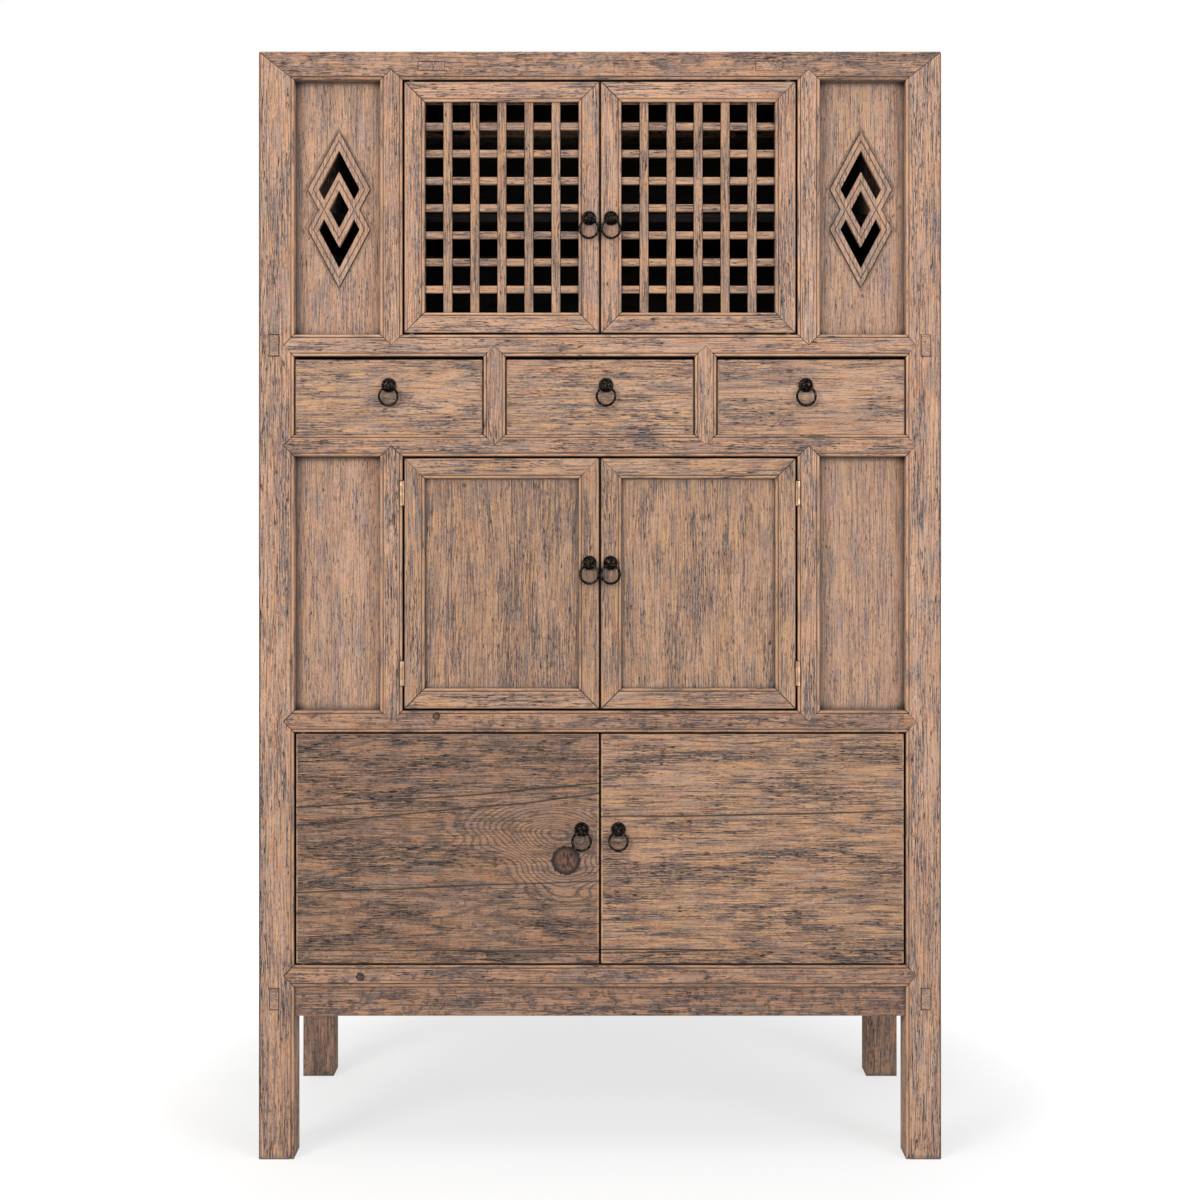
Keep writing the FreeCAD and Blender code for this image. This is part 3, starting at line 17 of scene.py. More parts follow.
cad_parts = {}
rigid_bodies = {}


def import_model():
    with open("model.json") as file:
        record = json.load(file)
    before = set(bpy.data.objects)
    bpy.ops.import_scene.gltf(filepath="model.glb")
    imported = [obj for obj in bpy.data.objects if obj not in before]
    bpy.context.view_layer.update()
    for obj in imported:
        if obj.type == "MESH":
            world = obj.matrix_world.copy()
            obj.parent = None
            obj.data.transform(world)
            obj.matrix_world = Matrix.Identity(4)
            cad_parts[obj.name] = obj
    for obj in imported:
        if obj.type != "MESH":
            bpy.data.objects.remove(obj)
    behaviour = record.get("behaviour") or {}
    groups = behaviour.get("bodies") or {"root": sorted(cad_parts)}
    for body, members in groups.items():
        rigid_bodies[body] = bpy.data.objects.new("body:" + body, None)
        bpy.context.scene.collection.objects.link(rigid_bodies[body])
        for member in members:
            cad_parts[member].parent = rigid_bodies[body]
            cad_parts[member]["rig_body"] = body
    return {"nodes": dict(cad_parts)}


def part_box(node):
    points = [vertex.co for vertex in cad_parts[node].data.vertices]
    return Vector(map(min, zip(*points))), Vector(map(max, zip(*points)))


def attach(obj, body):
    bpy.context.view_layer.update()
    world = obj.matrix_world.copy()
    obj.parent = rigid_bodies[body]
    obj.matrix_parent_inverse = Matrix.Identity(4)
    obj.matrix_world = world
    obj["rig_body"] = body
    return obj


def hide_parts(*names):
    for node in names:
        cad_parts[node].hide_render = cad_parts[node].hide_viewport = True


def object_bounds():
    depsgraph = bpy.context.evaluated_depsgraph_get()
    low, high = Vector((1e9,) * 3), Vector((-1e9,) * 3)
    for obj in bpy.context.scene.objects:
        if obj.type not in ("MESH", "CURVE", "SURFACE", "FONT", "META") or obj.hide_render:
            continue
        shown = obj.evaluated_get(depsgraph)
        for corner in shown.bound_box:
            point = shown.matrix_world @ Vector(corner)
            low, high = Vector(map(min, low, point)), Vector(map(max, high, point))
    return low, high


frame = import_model()
cad_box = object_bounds()
MM = 0.001

# %% [markdown]
# Every material below is made of nodes. A painter would place them by hand in the editor. In a script,
# one small function that adds a node, sets it and links it keeps each material short enough to read.
# Colours are written as the eye sees them, in hex, and are turned to the linear values that light adds
# up in.

# %% Colour and node helpers
def linear(hex_colour):
    """Linear red, green, blue and alpha of an sRGB hex colour."""
    channels = [int(hex_colour[i:i + 2], 16) / 255 for i in (1, 3, 5)]
    return [c / 12.92 if c <= 0.04045 else ((c + 0.055) / 1.055) ** 2.4 for c in channels] + [1.0]


def add(tree, kind, settings, links, out=0):
    """Adds a node, gives it its settings, and links or sets its sockets; returns one of its outputs."""
    made = tree.nodes.new("ShaderNode" + kind)
    for name, value in settings.items():
        setattr(made, name, value)
    sockets = {socket.identifier: socket for socket in made.inputs}
    for name, value in links.items():
        if isinstance(value, bpy.types.NodeSocket):
            tree.links.new(value, sockets[name])
        else:
            sockets[name].default_value = value
    return made.outputs[out] if made.outputs else None


def per_metre(*sizes_mm):
    """How often a pattern of this size in millimetres repeats in a metre, in each direction given."""
    return [1000 / size for size in sizes_mm]


def new_material(name):
    """An empty material and its node tree."""
    material = bpy.data.materials.new(name)
    material.use_nodes = True
    material.node_tree.nodes.clear()
    return material, material.node_tree


MIX_COLOUR = {"data_type": "RGBA"}
MIXED = 2

# %% [markdown]
# Elm has wide growth rings whose pores stay open. On this cabinet a pale wash was rubbed over the wood
# and sanded off again: it left a chalky bloom in patches, a blue-grey in the pores and joints, and bare
# orange wood where hands and sandpaper round the corners. A photograph could be wrapped on the boards,
# but a pattern made of noise follows each board for its whole length and never repeats. The boards
# carry an attribute, grain, whose x runs along the fibres, so one material serves uprights and rails
# alike. First come the rings: the distance across the board, bent by slow noise and lifted by each
# whorl, goes through a sine that repeats every few millimetres.

# %% Growth rings
SOFT = {"interpolation_type": "SMOOTHSTEP"}
PLUS, MINUS, TIMES, TIMES_PLUS, SINE, MAXIMUM, ABSOLUTE, LENGTH, DOT_PRODUCT = (
    {"operation": title} for title in ("ADD", "SUBTRACT", "MULTIPLY", "MULTIPLY_ADD", "SINE", "MAXIMUM",
                                       "ABSOLUTE", "LENGTH", "DOT_PRODUCT"))
RING_WIDTH_MM = 5.0
RING_BEND = 90 * MM


def growth_rings(tree, place, here, whorls):
    """The bend of the grain, the wave of its rings, and how near a whorl is, from 0 to 1."""
    slow = add(tree, "Mapping", {}, {"Vector": place, "Scale": per_metre(620, 90, 90)})
    bend = add(tree, "TexNoise", {}, {"Vector": slow, "Scale": 1.0, "Detail": 2.0})
    bend = add(tree, "Math", TIMES_PLUS, {"Value": bend, "Value_001": RING_BEND,
                                          "Value_002": -RING_BEND / 2})
    across = add(tree, "SeparateXYZ", {}, {"Vector": place}, 1)
    height = add(tree, "Math", PLUS, {"Value": across, "Value_001": bend})
    calm = 0.0
    for x, z, length, width, lift in whorls:
        near = add(tree, "Mapping", {}, {"Vector": here, "Location": (-x / length, 0, -z / width),
                                         "Scale": (1 / length, 0, 1 / width)})
        far = add(tree, "VectorMath", LENGTH, {"Vector": near}, 1)
        swell = add(tree, "MapRange", SOFT, {"Value": far, "To Min": lift, "To Max": 0.0})
        height = add(tree, "Math", PLUS, {"Value": height, "Value_001": swell})
        near_whorl = add(tree, "MapRange", SOFT, {"Value": far, "From Min": 1.1, "From Max": 0.5})
        calm = add(tree, "Math", MAXIMUM, {"Value": calm, "Value_001": near_whorl})
    turns = math.tau * per_metre(RING_WIDTH_MM)[0]
    phase = add(tree, "Math", TIMES, {"Value": height, "Value_001": turns})
    return bend, add(tree, "Math", SINE, {"Value": phase}), calm


# %% [markdown]
# Over the bare tone lie the layers that a restorer would name: straw and rust in the wood, clouds of
# wash, stains and chips, fine ridges, dark lines and pores. Each is one noise, stretched along the grain
# and cut off at a level, so few numbers describe it. Lines and pores gather in bands and along the
# rings, and keep away from the whorls. Real pores are a few tenths of a millimetre wide; they are drawn
# wider here, so that they show.

# %% Layers of wood and wash
JOINT_DIRT = "#1f1b1a"


def wood_layers(tree, place, wear, tints, rings, wave, calm, crowding):
    """The colour of the washed wood, and the mask of each of its layers."""
    pale, warm, straw, rust, cloud, dark, pore, rubbed = tints
    edge, joint, stain = wear
    bands = add(tree, "Mapping", {}, {"Vector": place, "Scale": per_metre(130, 24, 24)})
    bands = add(tree, "TexNoise", {}, {"Vector": bands, "Scale": 1.0, "Detail": 4.0})
    bands = add(tree, "MapRange", SOFT, {"Value": bands, "From Min": 0.4, "From Max": 0.6})
    crowd = add(tree, "Math", TIMES_PLUS, {"Value": wave, "Value_001": 0.2, "Value_002": bands})
    crowd = add(tree, "Math", MINUS, {"Value": crowd, "Value_001": calm})
    gathers = 0.04 + 0.07 * crowding
    # From the ground up: length and width of the marks in mm, detail of the noise, the noise at which a
    # mark starts and is full, how much it gathers, its strength and its colour
    layers = [
        ("tone", 500, 50, 3, 0.38, 0.6, 0, 1.0, pale),
        ("straw", 120, 14, 5, 0.48, 0.57, 0, 0.8, straw),
        ("clouds", 80, 34, 4, 0.5, 0.64, 0, 0.5, cloud),
        ("wash", 150, 6, 5, 0.52, 0.62, 0, 0.15 + 0.4 * crowding, dark),
        ("rust", 45, 7, 5, 0.53, 0.62, 0, 0.55, rust),
        ("stains", 20, 11, 5, 0.5, 0.57, 0.03, stain, dark),
        ("chips", 9, 12, 5, 0.55, 0.6, 0.03, stain, pore),
        ("ridges", 60, 1.8, 3, 0.52, 0.58, 0, 0.85, rubbed),
        ("lines", 70, 1.6, 3, 0.58, 0.63, gathers, 0.9, dark),
        ("flecks", 5, 2, 3, 0.52, 0.62, 0, 0.35, rubbed),
        ("specks", 5, 1.8, 3, 0.56, 0.66, 0.03, 0.5, dark),
        ("pores", 15, 1.4, 2, 0.64, 0.69, gathers, 0.95, pore),
        ("rubbed edges", 50, 8, 4, 0.4, 0.56, 0, edge, rubbed),
        ("joints", 22, 22, 2, 0.1, 0.42, 0, joint, linear(JOINT_DIRT)),
    ]
    ring_strength = add(tree, "MapRange", {}, {"Value": calm, "To Min": rings, "To Max": 0.8})
    late = add(tree, "MapRange", SOFT, {"Value": wave, "From Min": 0.3, "From Max": 0.9,
                                        "To Max": ring_strength})
    colour, masks = warm, {}
    for title, length, width, detail, start, full, weight, strength, tint in layers:
        spread = add(tree, "Mapping", {}, {"Vector": place, "Scale": per_metre(length, width, width)})
        noise = add(tree, "TexNoise", {}, {"Vector": spread, "Scale": 1.0, "Detail": detail})
        if weight:
            noise = add(tree, "Math", TIMES_PLUS, {"Value": crowd, "Value_001": weight,
                                                   "Value_002": noise})
        masks[title] = add(tree, "MapRange", SOFT, {"Value": noise, "From Min": start, "From Max": full,
                                                    "To Max": strength})
        colour = add(tree, "Mix", MIX_COLOUR, {"Factor_Float": masks[title], "A_Color": colour,
                                               "B_Color": tint}, MIXED)
        if title == "lines":
            colour = add(tree, "Mix", MIX_COLOUR, {"Factor_Float": late, "A_Color": colour,
                                                   "B_Color": dark}, MIXED)
    return colour, masks


# %% [markdown]
# Grey wash stays in inner corners, here wider and there narrower, and dirt fills the very corner. Both
# also paint the shade that falls in corners and recesses and beside the beads. A node that measures how
# open the air round a point is finds those corners. Old joints and cracks are thin dark lines that
# wander along the planks with the grain.

# %% Corners with painted shade, and cracks
CORNER_REACH = 16 * MM
CRACK_DIRT = "#3b3532"


def corner_wash_and_shade(tree, colour, place):
    """The colour with grey wash and dirt in the inner corners, which also paint the shade there."""
    reach = add(tree, "Mapping", {}, {"Vector": place, "Scale": per_metre(34, 12, 12)})
    reach = add(tree, "TexNoise", {}, {"Vector": reach, "Scale": 1.0, "Detail": 4.0})
    reach = add(tree, "MapRange", {}, {"Value": reach, "From Min": 0.35, "From Max": 0.65,
                                       "To Min": 0.8, "To Max": 1.04})
    open_air = add(tree, "AmbientOcclusion", {"samples": 8}, {"Distance": CORNER_REACH}, 1)
    # Wash and dirt, which also paint the shade in the corners: the openness at which each is full and at
    # which it ends, its strength and its colour
    for narrow, wide, strength, tint in ((0.5, reach, 0.75, "#716862"), (0.3, 0.64, 0.9, "#2d2725")):
        crevice = add(tree, "MapRange", SOFT, {"Value": open_air, "From Min": narrow, "From Max": wide,
                                               "To Min": strength, "To Max": 0.0})
        colour = add(tree, "Mix", MIX_COLOUR, {"Factor_Float": crevice, "A_Color": colour,
                                               "B_Color": linear(tint)}, MIXED)
    return colour


def crack_lines(tree, colour, here, bend, cracks):
    """The colour with dark cracks that start at a place and rise along the board."""
    for x, z, rise in cracks:
        down = add(tree, "Mapping", {}, {"Vector": here, "Location": (-x, 0, -z)})
        level = add(tree, "VectorMath", DOT_PRODUCT, {"Vector": down, "Vector_001": (-rise, 0, 1)}, 1)
        level = add(tree, "Math", TIMES_PLUS, {"Value": bend, "Value_001": 0.3, "Value_002": level})
        level = add(tree, "Math", ABSOLUTE, {"Value": level})
        crack = add(tree, "MapRange", SOFT, {"Value": level, "From Min": 0.5 * MM, "From Max": 2 * MM,
                                             "To Min": 0.9, "To Max": 0.0})
        colour = add(tree, "Mix", MIX_COLOUR, {"Factor_Float": crack, "A_Color": colour,
                                               "B_Color": linear(CRACK_DIRT)}, MIXED)
    return colour


# %% [markdown]
# A knot is the end of a branch: a round heart with orange patches and dark streaks, and dark bark round
# it. Noise pushes its outline in and out, so it is never a true circle.

# %% Knots
KNOT_WOBBLE = 8 * MM


def knot_hearts(tree, colour, here, knots):
    """The colour with knots at the places given."""
    for x, z, radius in knots:
        wobble = KNOT_WOBBLE / radius
        near = add(tree, "Mapping", {}, {"Vector": here, "Location": (-x / radius, 0, -z / radius),
                                         "Scale": (1 / radius, 0, 1 / radius)})
        far = add(tree, "VectorMath", LENGTH, {"Vector": near}, 1)
        streaks = add(tree, "Mapping", {}, {"Vector": here, "Scale": per_metre(4, 4, 9)})
        streaks = add(tree, "TexNoise", {}, {"Vector": streaks, "Scale": 1.0, "Detail": 4.0})
        far = add(tree, "Math", TIMES_PLUS, {"Value": streaks, "Value_001": wobble, "Value_002": far})
        far = add(tree, "Math", PLUS, {"Value": far, "Value_001": -wobble / 2})
        # The heart, its orange patches and dark streaks, and the dark bark round it
        for inner, outer, source, start, full, tint in ((1.05, 0.95, far, 1.1, 1.0, "#5d473c"),
                                                        (0.9, 0.5, streaks, 0.52, 0.6, "#8d5e47"),
                                                        (1.05, 0.95, streaks, 0.47, 0.41, "#33272a"),
                                                        (1.05, 0.97, far, 0.62, 0.92, "#231a18")):
            core = add(tree, "MapRange", SOFT, {"Value": far, "From Min": inner, "From Max": outer,
                                                "To Max": 0.9})
            part = add(tree, "MapRange", SOFT, {"Value": source, "From Min": start, "From Max": full,
                                                "To Max": core})
            colour = add(tree, "Mix", MIX_COLOUR, {"Factor_Float": part, "A_Color": colour,
                                                   "B_Color": linear(tint)}, MIXED)
    return colour


# %% [markdown]
# Now the parts come together. A second attribute, wear, says for each face how rubbed, how dirty and how
# dark it is. Pores and lines are sunk a little and ridges stand out, which a bump map shows well enough
# at this size. One recipe with six palettes gives all the timber of the cabinet.

# %% Washed elm
BOARD_SHADE = "#c0b6b0"


def washed_elm(name, tints, crowding=0.5, rings=0.2, whorls=(), knots=(), cracks=()):
    """Limed and sanded elm: rings, pores, grey wash, rubbed edges, filled joints and painted shade in the
    corners.
    """
    material, tree = new_material(name)
    place = add(tree, "Attribute", {"attribute_name": "grain"}, {}, 1)
    here = add(tree, "TexCoord", {}, {}, 3)
    wear = add(tree, "Attribute", {"attribute_name": "wear"}, {}, 1)
    wear = add(tree, "SeparateXYZ", {}, {"Vector": wear}).node.outputs
    bend, wave, calm = growth_rings(tree, place, here, whorls)
    colour, masks = wood_layers(tree, place, wear, [linear(tint) for tint in tints], rings, wave, calm,
                                crowding)
    # A board's own tone darkens all of it
    colour = add(tree, "Mix", {"data_type": "RGBA", "blend_type": "MULTIPLY"},
                 {"Factor_Float": wear[2], "A_Color": colour, "B_Color": linear(BOARD_SHADE)}, MIXED)
    # Grey wash and dirt in the inner corners, which also paint the shade there
    colour = corner_wash_and_shade(tree, colour, place)
    colour = crack_lines(tree, colour, here, bend, cracks)
    colour = knot_hearts(tree, colour, here, knots)
    sunk = add(tree, "Math", PLUS, {"Value": masks["pores"], "Value_001": masks["lines"]})
    relief = add(tree, "Math", MINUS, {"Value": masks["ridges"], "Value_001": sunk})
    bump = add(tree, "Bump", {}, {"Height": relief, "Strength": 0.6, "Distance": 0.6 * MM})
    dull = add(tree, "MapRange", {}, {"Value": masks["pores"], "To Min": 0.72, "To Max": 0.92})
    shader = add(tree, "BsdfPrincipled", {}, {"Base Color": colour, "Roughness": dull, "IOR": 1.5,
                                              "Specular IOR Level": 0.3, "Normal": bump})
    add(tree, "OutputMaterial", {}, {"Surface": shader})
    return material


# Tints in the order pale, warm, straw, rust, cloud, dark, pore and rubbed
FRAME_TINTS = ("#dab299", "#c09985", "#d8a885", "#c48460", "#8f8a8a", "#6e6769", "#3f3a3b", "#e9b58d")
PANEL_TINTS = ("#d7b099", "#c29c86", "#d4aa88", "#c68c68", "#948b8a", "#7a6f70", "#463f3f", "#deaf89")
DOOR_TINTS = ("#d1aa90", "#b8927a", "#d0a27a", "#be815d", "#877f7f", "#6c6364", "#3d3839", "#dbab81")
RIGHT_TINTS = ("#c49f88", "#a98a75", "#c79c76", "#b47956", "#7b7475", "#5b5354", "#2d2a2b", "#dba97e")
LEFT_TINTS = ("#bb9a86", "#a28473", "#bd9271", "#ac7451", "#787273", "#595252", "#2b292a", "#d3a27c")
# The inside: a near-black stain that also paints the shade in the cabinet
INNER_STAIN_AND_SHADE_TINTS = ("#1b1512", "#17120f", "#1b1512", "#1b1512", "#120e0c", "#120e0c", "#0e0b0a", "#291f19")


def scaled(rows):
    """Rows of lengths in millimetres as rows in metres."""
    return [[value * MM for value in row] for row in rows]


# Two whorls of the grain and one knot sit on the left bottom door; their places were read off the
# photograph. A whorl has its x, z, length, width and lift, a knot its x, z and radius
door_whorls = scaled([(-86, 548, 190, 60, 62), (-57, 499, 110, 90, 40)])
door_knots = scaled([(-56.7, 499, 24)])
# Small dark knots on the rails below the middle and the bottom doors
frame_knots = scaled([(-273, 740, 6), (-400, 305, 7)])
# A joint or crack starts at the middle of a bottom door and has its height and its rise per metre
LEFT_CRACKS = [(-256 * MM, 606 * MM, 0.08), (-256 * MM, 584 * MM, 0.11),
               (-256 * MM, 455 * MM, 0.04), (-256 * MM, 348 * MM, 0)]
RIGHT_CRACKS = [(256 * MM, 575 * MM, 0.018), (256 * MM, 348 * MM, 0)]
elm = {
    "frame_elm": washed_elm("washed elm, frame", FRAME_TINTS, knots=frame_knots),
    "panel_elm": washed_elm("washed elm, panels", PANEL_TINTS, 0.0),
    "door_elm": washed_elm("washed elm, doors", DOOR_TINTS, 0.5, 0.25),
    "dark_elm": washed_elm("weathered elm, right planks", RIGHT_TINTS, 0.65, 0.3, cracks=RIGHT_CRACKS),
    # The inside: dark stain and painted shade
    "inner_wood": washed_elm("dark inner wood and painted shade", INNER_STAIN_AND_SHADE_TINTS),
}
left_planks = washed_elm("weathered elm, left planks", LEFT_TINTS, 0.7, 0.4, door_whorls, door_knots,
                         LEFT_CRACKS)
print("wood materials", len(elm))

# %% [markdown]
# A machine leaves dead straight edges, and a worn cabinet has none. Each node of the frame may hold
# several boards. They could be softened in one go, but where two boards touch, their corners would melt
# together. So the boards of a node are taken one by one: the triangles of a board close on themselves,
# which shows where it ends. Each board is merged, its flat faces are joined, and its outer edges get a
# small bevel.

# %% Boards with softened edges
EDGE_WIDTH, DRAWER_EDGE, CARVED_EDGE = 0.9 * MM, 1.6 * MM, 0.25 * MM
DRAWER_CORNER = 5 * MM
SHARP_ANGLE, FLAT_ANGLE = 0.4, math.radians(1)
NARROW_FACE = 4 * MM
FRONT_DEPTH = 5 * MM
SAME_SPOT = 0.01 * MM
BEVEL = {"offset_type": "OFFSET", "profile": 0.5, "affect": "EDGES", "clamp_overlap": True, "material": -1}


def board_runs(mesh):
    """First and last triangle of each closed board in a node's mesh."""
    corners = [tuple(round(c * 1e6) for c in vertex.co) for vertex in mesh.vertices]
    waiting, runs, first = set(), [], 0
    for face in mesh.polygons:
        around = [corners[i] for i in face.vertices]
        for a, b in zip(around, around[1:] + around[:1]):
            if (b, a) in waiting:
                waiting.discard((b, a))
            else:
                waiting.add((a, b))
        if not waiting:
            runs.append((first, face.index))
            first = face.index + 1
    return runs


def flush_neighbour(face, solids):
    """Whether another board goes on at the same level beyond this bevelled edge."""
    beyond, below = 1.4 * MM, 0.7 * MM
    longest = sorted(face.edges, key=lambda edge: -edge.calc_length())[:2]
    sides = [other.normal for edge in longest for other in edge.link_faces if other != face]
    if len(sides) != 2:
        return False
    for outward, upward in (sides, sides[::-1]):
        spot = face.calc_center_median() + outward * beyond - upward * below
        nearest, normal = solids.find_nearest(spot)[:2]
        if (spot - nearest).dot(normal) < 0:
            return True
    return False


def round_corners(board, radius):
    """Rounds the four corners of the largest front on a board, as a plane and sandpaper leave them."""
    low, high = ([pick(v.co[i] for v in board.verts) for i in range(3)] for pick in (min, max))
    corners = [edge for edge in board.edges if all(
        abs(v.co.x - x) + abs(v.co.z - z) < SAME_SPOT for v in edge.verts
        for x, z in [(low[0] if v.co.x < (low[0] + high[0]) / 2 else high[0],
                      low[2] if v.co.z < (low[2] + high[2]) / 2 else high[2])])
        and abs(edge.verts[0].co.y - edge.verts[1].co.y) > FRONT_DEPTH]
    bmesh.ops.bevel(board, geom=corners, offset=radius, segments=3, **BEVEL)


def soften(mesh, run, width, solids, corner_radius):
    """One board of a node with bevelled edges, and the indices of its worn and of its joint faces."""
    board = bmesh.new()
    board.from_mesh(mesh)
    board.faces.ensure_lookup_table()
    others = [face for face in board.faces if not run[0] <= face.index <= run[1]]
    bmesh.ops.delete(board, geom=others, context="FACES")
    bmesh.ops.remove_doubles(board, verts=board.verts, dist=SAME_SPOT)
    bmesh.ops.dissolve_limit(board, angle_limit=FLAT_ANGLE, verts=board.verts, edges=board.edges)
    if corner_radius:
        round_corners(board, corner_radius)
    sharp = [edge for edge in board.edges
             if edge.is_manifold and edge.calc_face_angle_signed() > SHARP_ANGLE]
    bevelled = bmesh.ops.bevel(board, geom=sharp, offset=width, segments=1, **BEVEL)
    bmesh.ops.triangulate(board, faces=[face for face in board.faces if len(face.verts) > 4])
    worn = set(bevelled["faces"])
    joints = {face for face in worn if face.is_valid and flush_neighbour(face, solids)}
    for face in board.faces:
        leaning = max(abs(c) for c in face.normal) < 0.9
        if leaning and face.calc_area() < NARROW_FACE * max(edge.calc_length() for edge in face.edges):
            worn.add(face)
    board.faces.index_update()
    rubbed = {face.index for face in worn - joints if face.is_valid}
    return board, rubbed, {face.index for face in joints}


# How bare the rubbed edges are, and how dark some of the boards have become; the others stay near 0
RUBBED = 0.65
TONE_SPREAD = 0.16
GRAIN_SHIFT = 9
TONES = {"top_rail_front": 0.42, "rail_above_drawers": 0.04, "rail_below_drawers": 0.1,
         "rail_below_middle_doors": 0.34, "rail_below_bottom_doors": 0.34, "apron_front": 0.5,
         "middle_door_left_panel": 0.16, "middle_door_right_panel": 0.1, "bottom_door_left": 0.3,
         "bottom_door_right": 0.06, "posts_back": 0.25}


def softened_copy(name, width=EDGE_WIDTH, corner_radius=0.0):
    """A piece that stands for a CAD node: its boards, each with soft edges and its own grain."""
    source = frame["nodes"][name]
    whole = bmesh.new()
    grain = whole.verts.layers.float_vector.new("grain")
    wear = whole.faces.layers.float_vector.new("wear")
    chance = random.Random(name)
    for run in board_runs(source.data):
        board, worn, joints = soften(source.data, run, width, solids, corner_radius)
        spare = bpy.data.meshes.new("spare")
        board.to_mesh(spare)
        board.free()
        old_corners, old_faces = len(whole.verts), len(whole.faces)
        whole.from_mesh(spare)
        bpy.data.meshes.remove(spare)
        whole.verts.ensure_lookup_table()
        whole.faces.ensure_lookup_table()
        corners = whole.verts[old_corners:]
        size = [max(v.co[i] for v in corners) - min(v.co[i] for v in corners) for i in range(3)]
        along = size.index(max(size))
        shift = Vector([chance.uniform(-GRAIN_SHIFT, GRAIN_SHIFT) for _ in range(3)])
        tone = TONES.get(name, 0.0) + chance.uniform(0.0, TONE_SPREAD)
        for v in corners:
            v[grain] = Vector([v.co[(along + i) % 3] for i in range(3)]) + shift
        for index, face in enumerate(whole.faces[old_faces:]):
            face[wear] = (RUBBED * (index in worn), index in joints, tone)
    mesh = bpy.data.meshes.new(name + "_worn")
    whole.to_mesh(mesh)
    whole.free()
    piece = bpy.data.objects.new(name + "_worn", mesh)
    bpy.context.scene.collection.objects.link(piece)
    slot_name = source.material_slots[0].name.split(".")[0]
    mesh.materials.append(elm[slot_name])
    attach(piece, source["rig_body"])
    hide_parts(name)
    return piece


corners, triangles = [], []
for node_object in frame["nodes"].values():
    start = len(corners)
    corners += [vertex.co for vertex in node_object.data.vertices]
    triangles += [[start + i for i in face.vertices] for face in node_object.data.polygons]
solids = BVHTree.FromPolygons(corners, triangles)

DRAWERS = ("drawer_left", "drawer_centre", "drawer_right")
wooden = {}
for node_name, node_object in frame["nodes"].items():
    if node_object.material_slots[0].name.split(".")[0] in elm:
        if node_name in DRAWERS:
            wooden[node_name] = softened_copy(node_name, DRAWER_EDGE, DRAWER_CORNER)
        elif node_name.startswith("carved"):
            wooden[node_name] = softened_copy(node_name, CARVED_EDGE)
        else:
            wooden[node_name] = softened_copy(node_name)
wooden["bottom_door_left"].data.materials[0] = left_planks
# The two frames of the lattice doors were sanded as pale as the cabinet's own frame
for side in ("left", "right"):
    wooden["upper_door_%s_frame" % side].data.materials[0] = elm["frame_elm"]
print("wooden pieces", len(wooden), "faces", sum(len(p.data.polygons) for p in wooden.values()))

# %% [markdown]
# The inside of the cabinet is nearly black: a dark stain that also paints the shade inside it, so the
# lattice and the carved openings read as dark holes. The back is dark all through, and the boards of the
# sides and the top wear both finishes: washed elm outside, and inside the dark stain with its painted
# shade. A face that looks towards the middle of the cabinet gets the second material.

# %% Dark stain and painted shade on the inner faces
middle = (cad_box[0] + cad_box[1]) / 2
for node_name in ("side_panels", "side_rails", "top_panel"):
    mesh = wooden[node_name].data
    mesh.materials.append(elm["inner_wood"])
    stained_and_shaded = 0
    for face in mesh.polygons:
        axis = max(range(3), key=lambda i: abs(face.normal[i]))
        # Inward faces take the dark stain, which also paints the shade inside
        if face.normal[axis] * (face.center[axis] - middle[axis]) < 0:
            face.material_index = 1
            stained_and_shaded += 1
    print(node_name, "stained faces", stained_and_shaded)

# %% [markdown]
# The sinking round the carved diamonds slopes, and the grey wash was never sanded out of it. Hands have
# rubbed the rims of the drawer fronts and of the plank doors down to bare wood. The tenons of the top's
# battens come through the front rail, so their ends have its finish.

# %% Washed slopes, rubbed rims and tenon ends
BARE, WASHED = (1, 0, 0), (0, 0.1, 0.3)
# How far slopes and rims look to the front, where 1 is straight ahead
SLOPE_LEAST, SLOPE_MOST, RIM_LEAST, RIM_MOST = 0.7, 0.99, 0.1, 0.98
for node_name in ("carved_panel_left", "carved_panel_right"):
    mesh = wooden[node_name].data
    wear = mesh.attributes["wear"].data
    slopes = [face for face in mesh.polygons if SLOPE_LEAST < -face.normal.y < SLOPE_MOST]
    for face in slopes:
        wear[face.index].vector = WASHED
    print(node_name, "sloping faces", len(slopes))
for node_name in DRAWERS + ("bottom_door_left", "bottom_door_right"):
    mesh = wooden[node_name].data
    wear = mesh.attributes["wear"].data
    for face in mesh.polygons:
        if RIM_LEAST < -face.normal.y < RIM_MOST and wear[face.index].vector[1] == 0:
            wear[face.index].vector = BARE
mesh = wooden["top_battens"].data
mesh.materials.append(elm["frame_elm"])
for face in mesh.polygons:
    face.material_index = int(abs(face.normal.y) > 0.5)

# %% [markdown]
# The ring pulls are forged iron: a domed boss with a sunk ring round its centre, an eye that stands out
# of it and a ring of round wire through the eye. Boss and ring are bodies of revolution, so each is a
# small outline turned about an axis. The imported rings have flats, and these stand in for them at the
# same size. Iron that hands have polished is nearly black in its hollows and a warm dark brown where
# it shines.

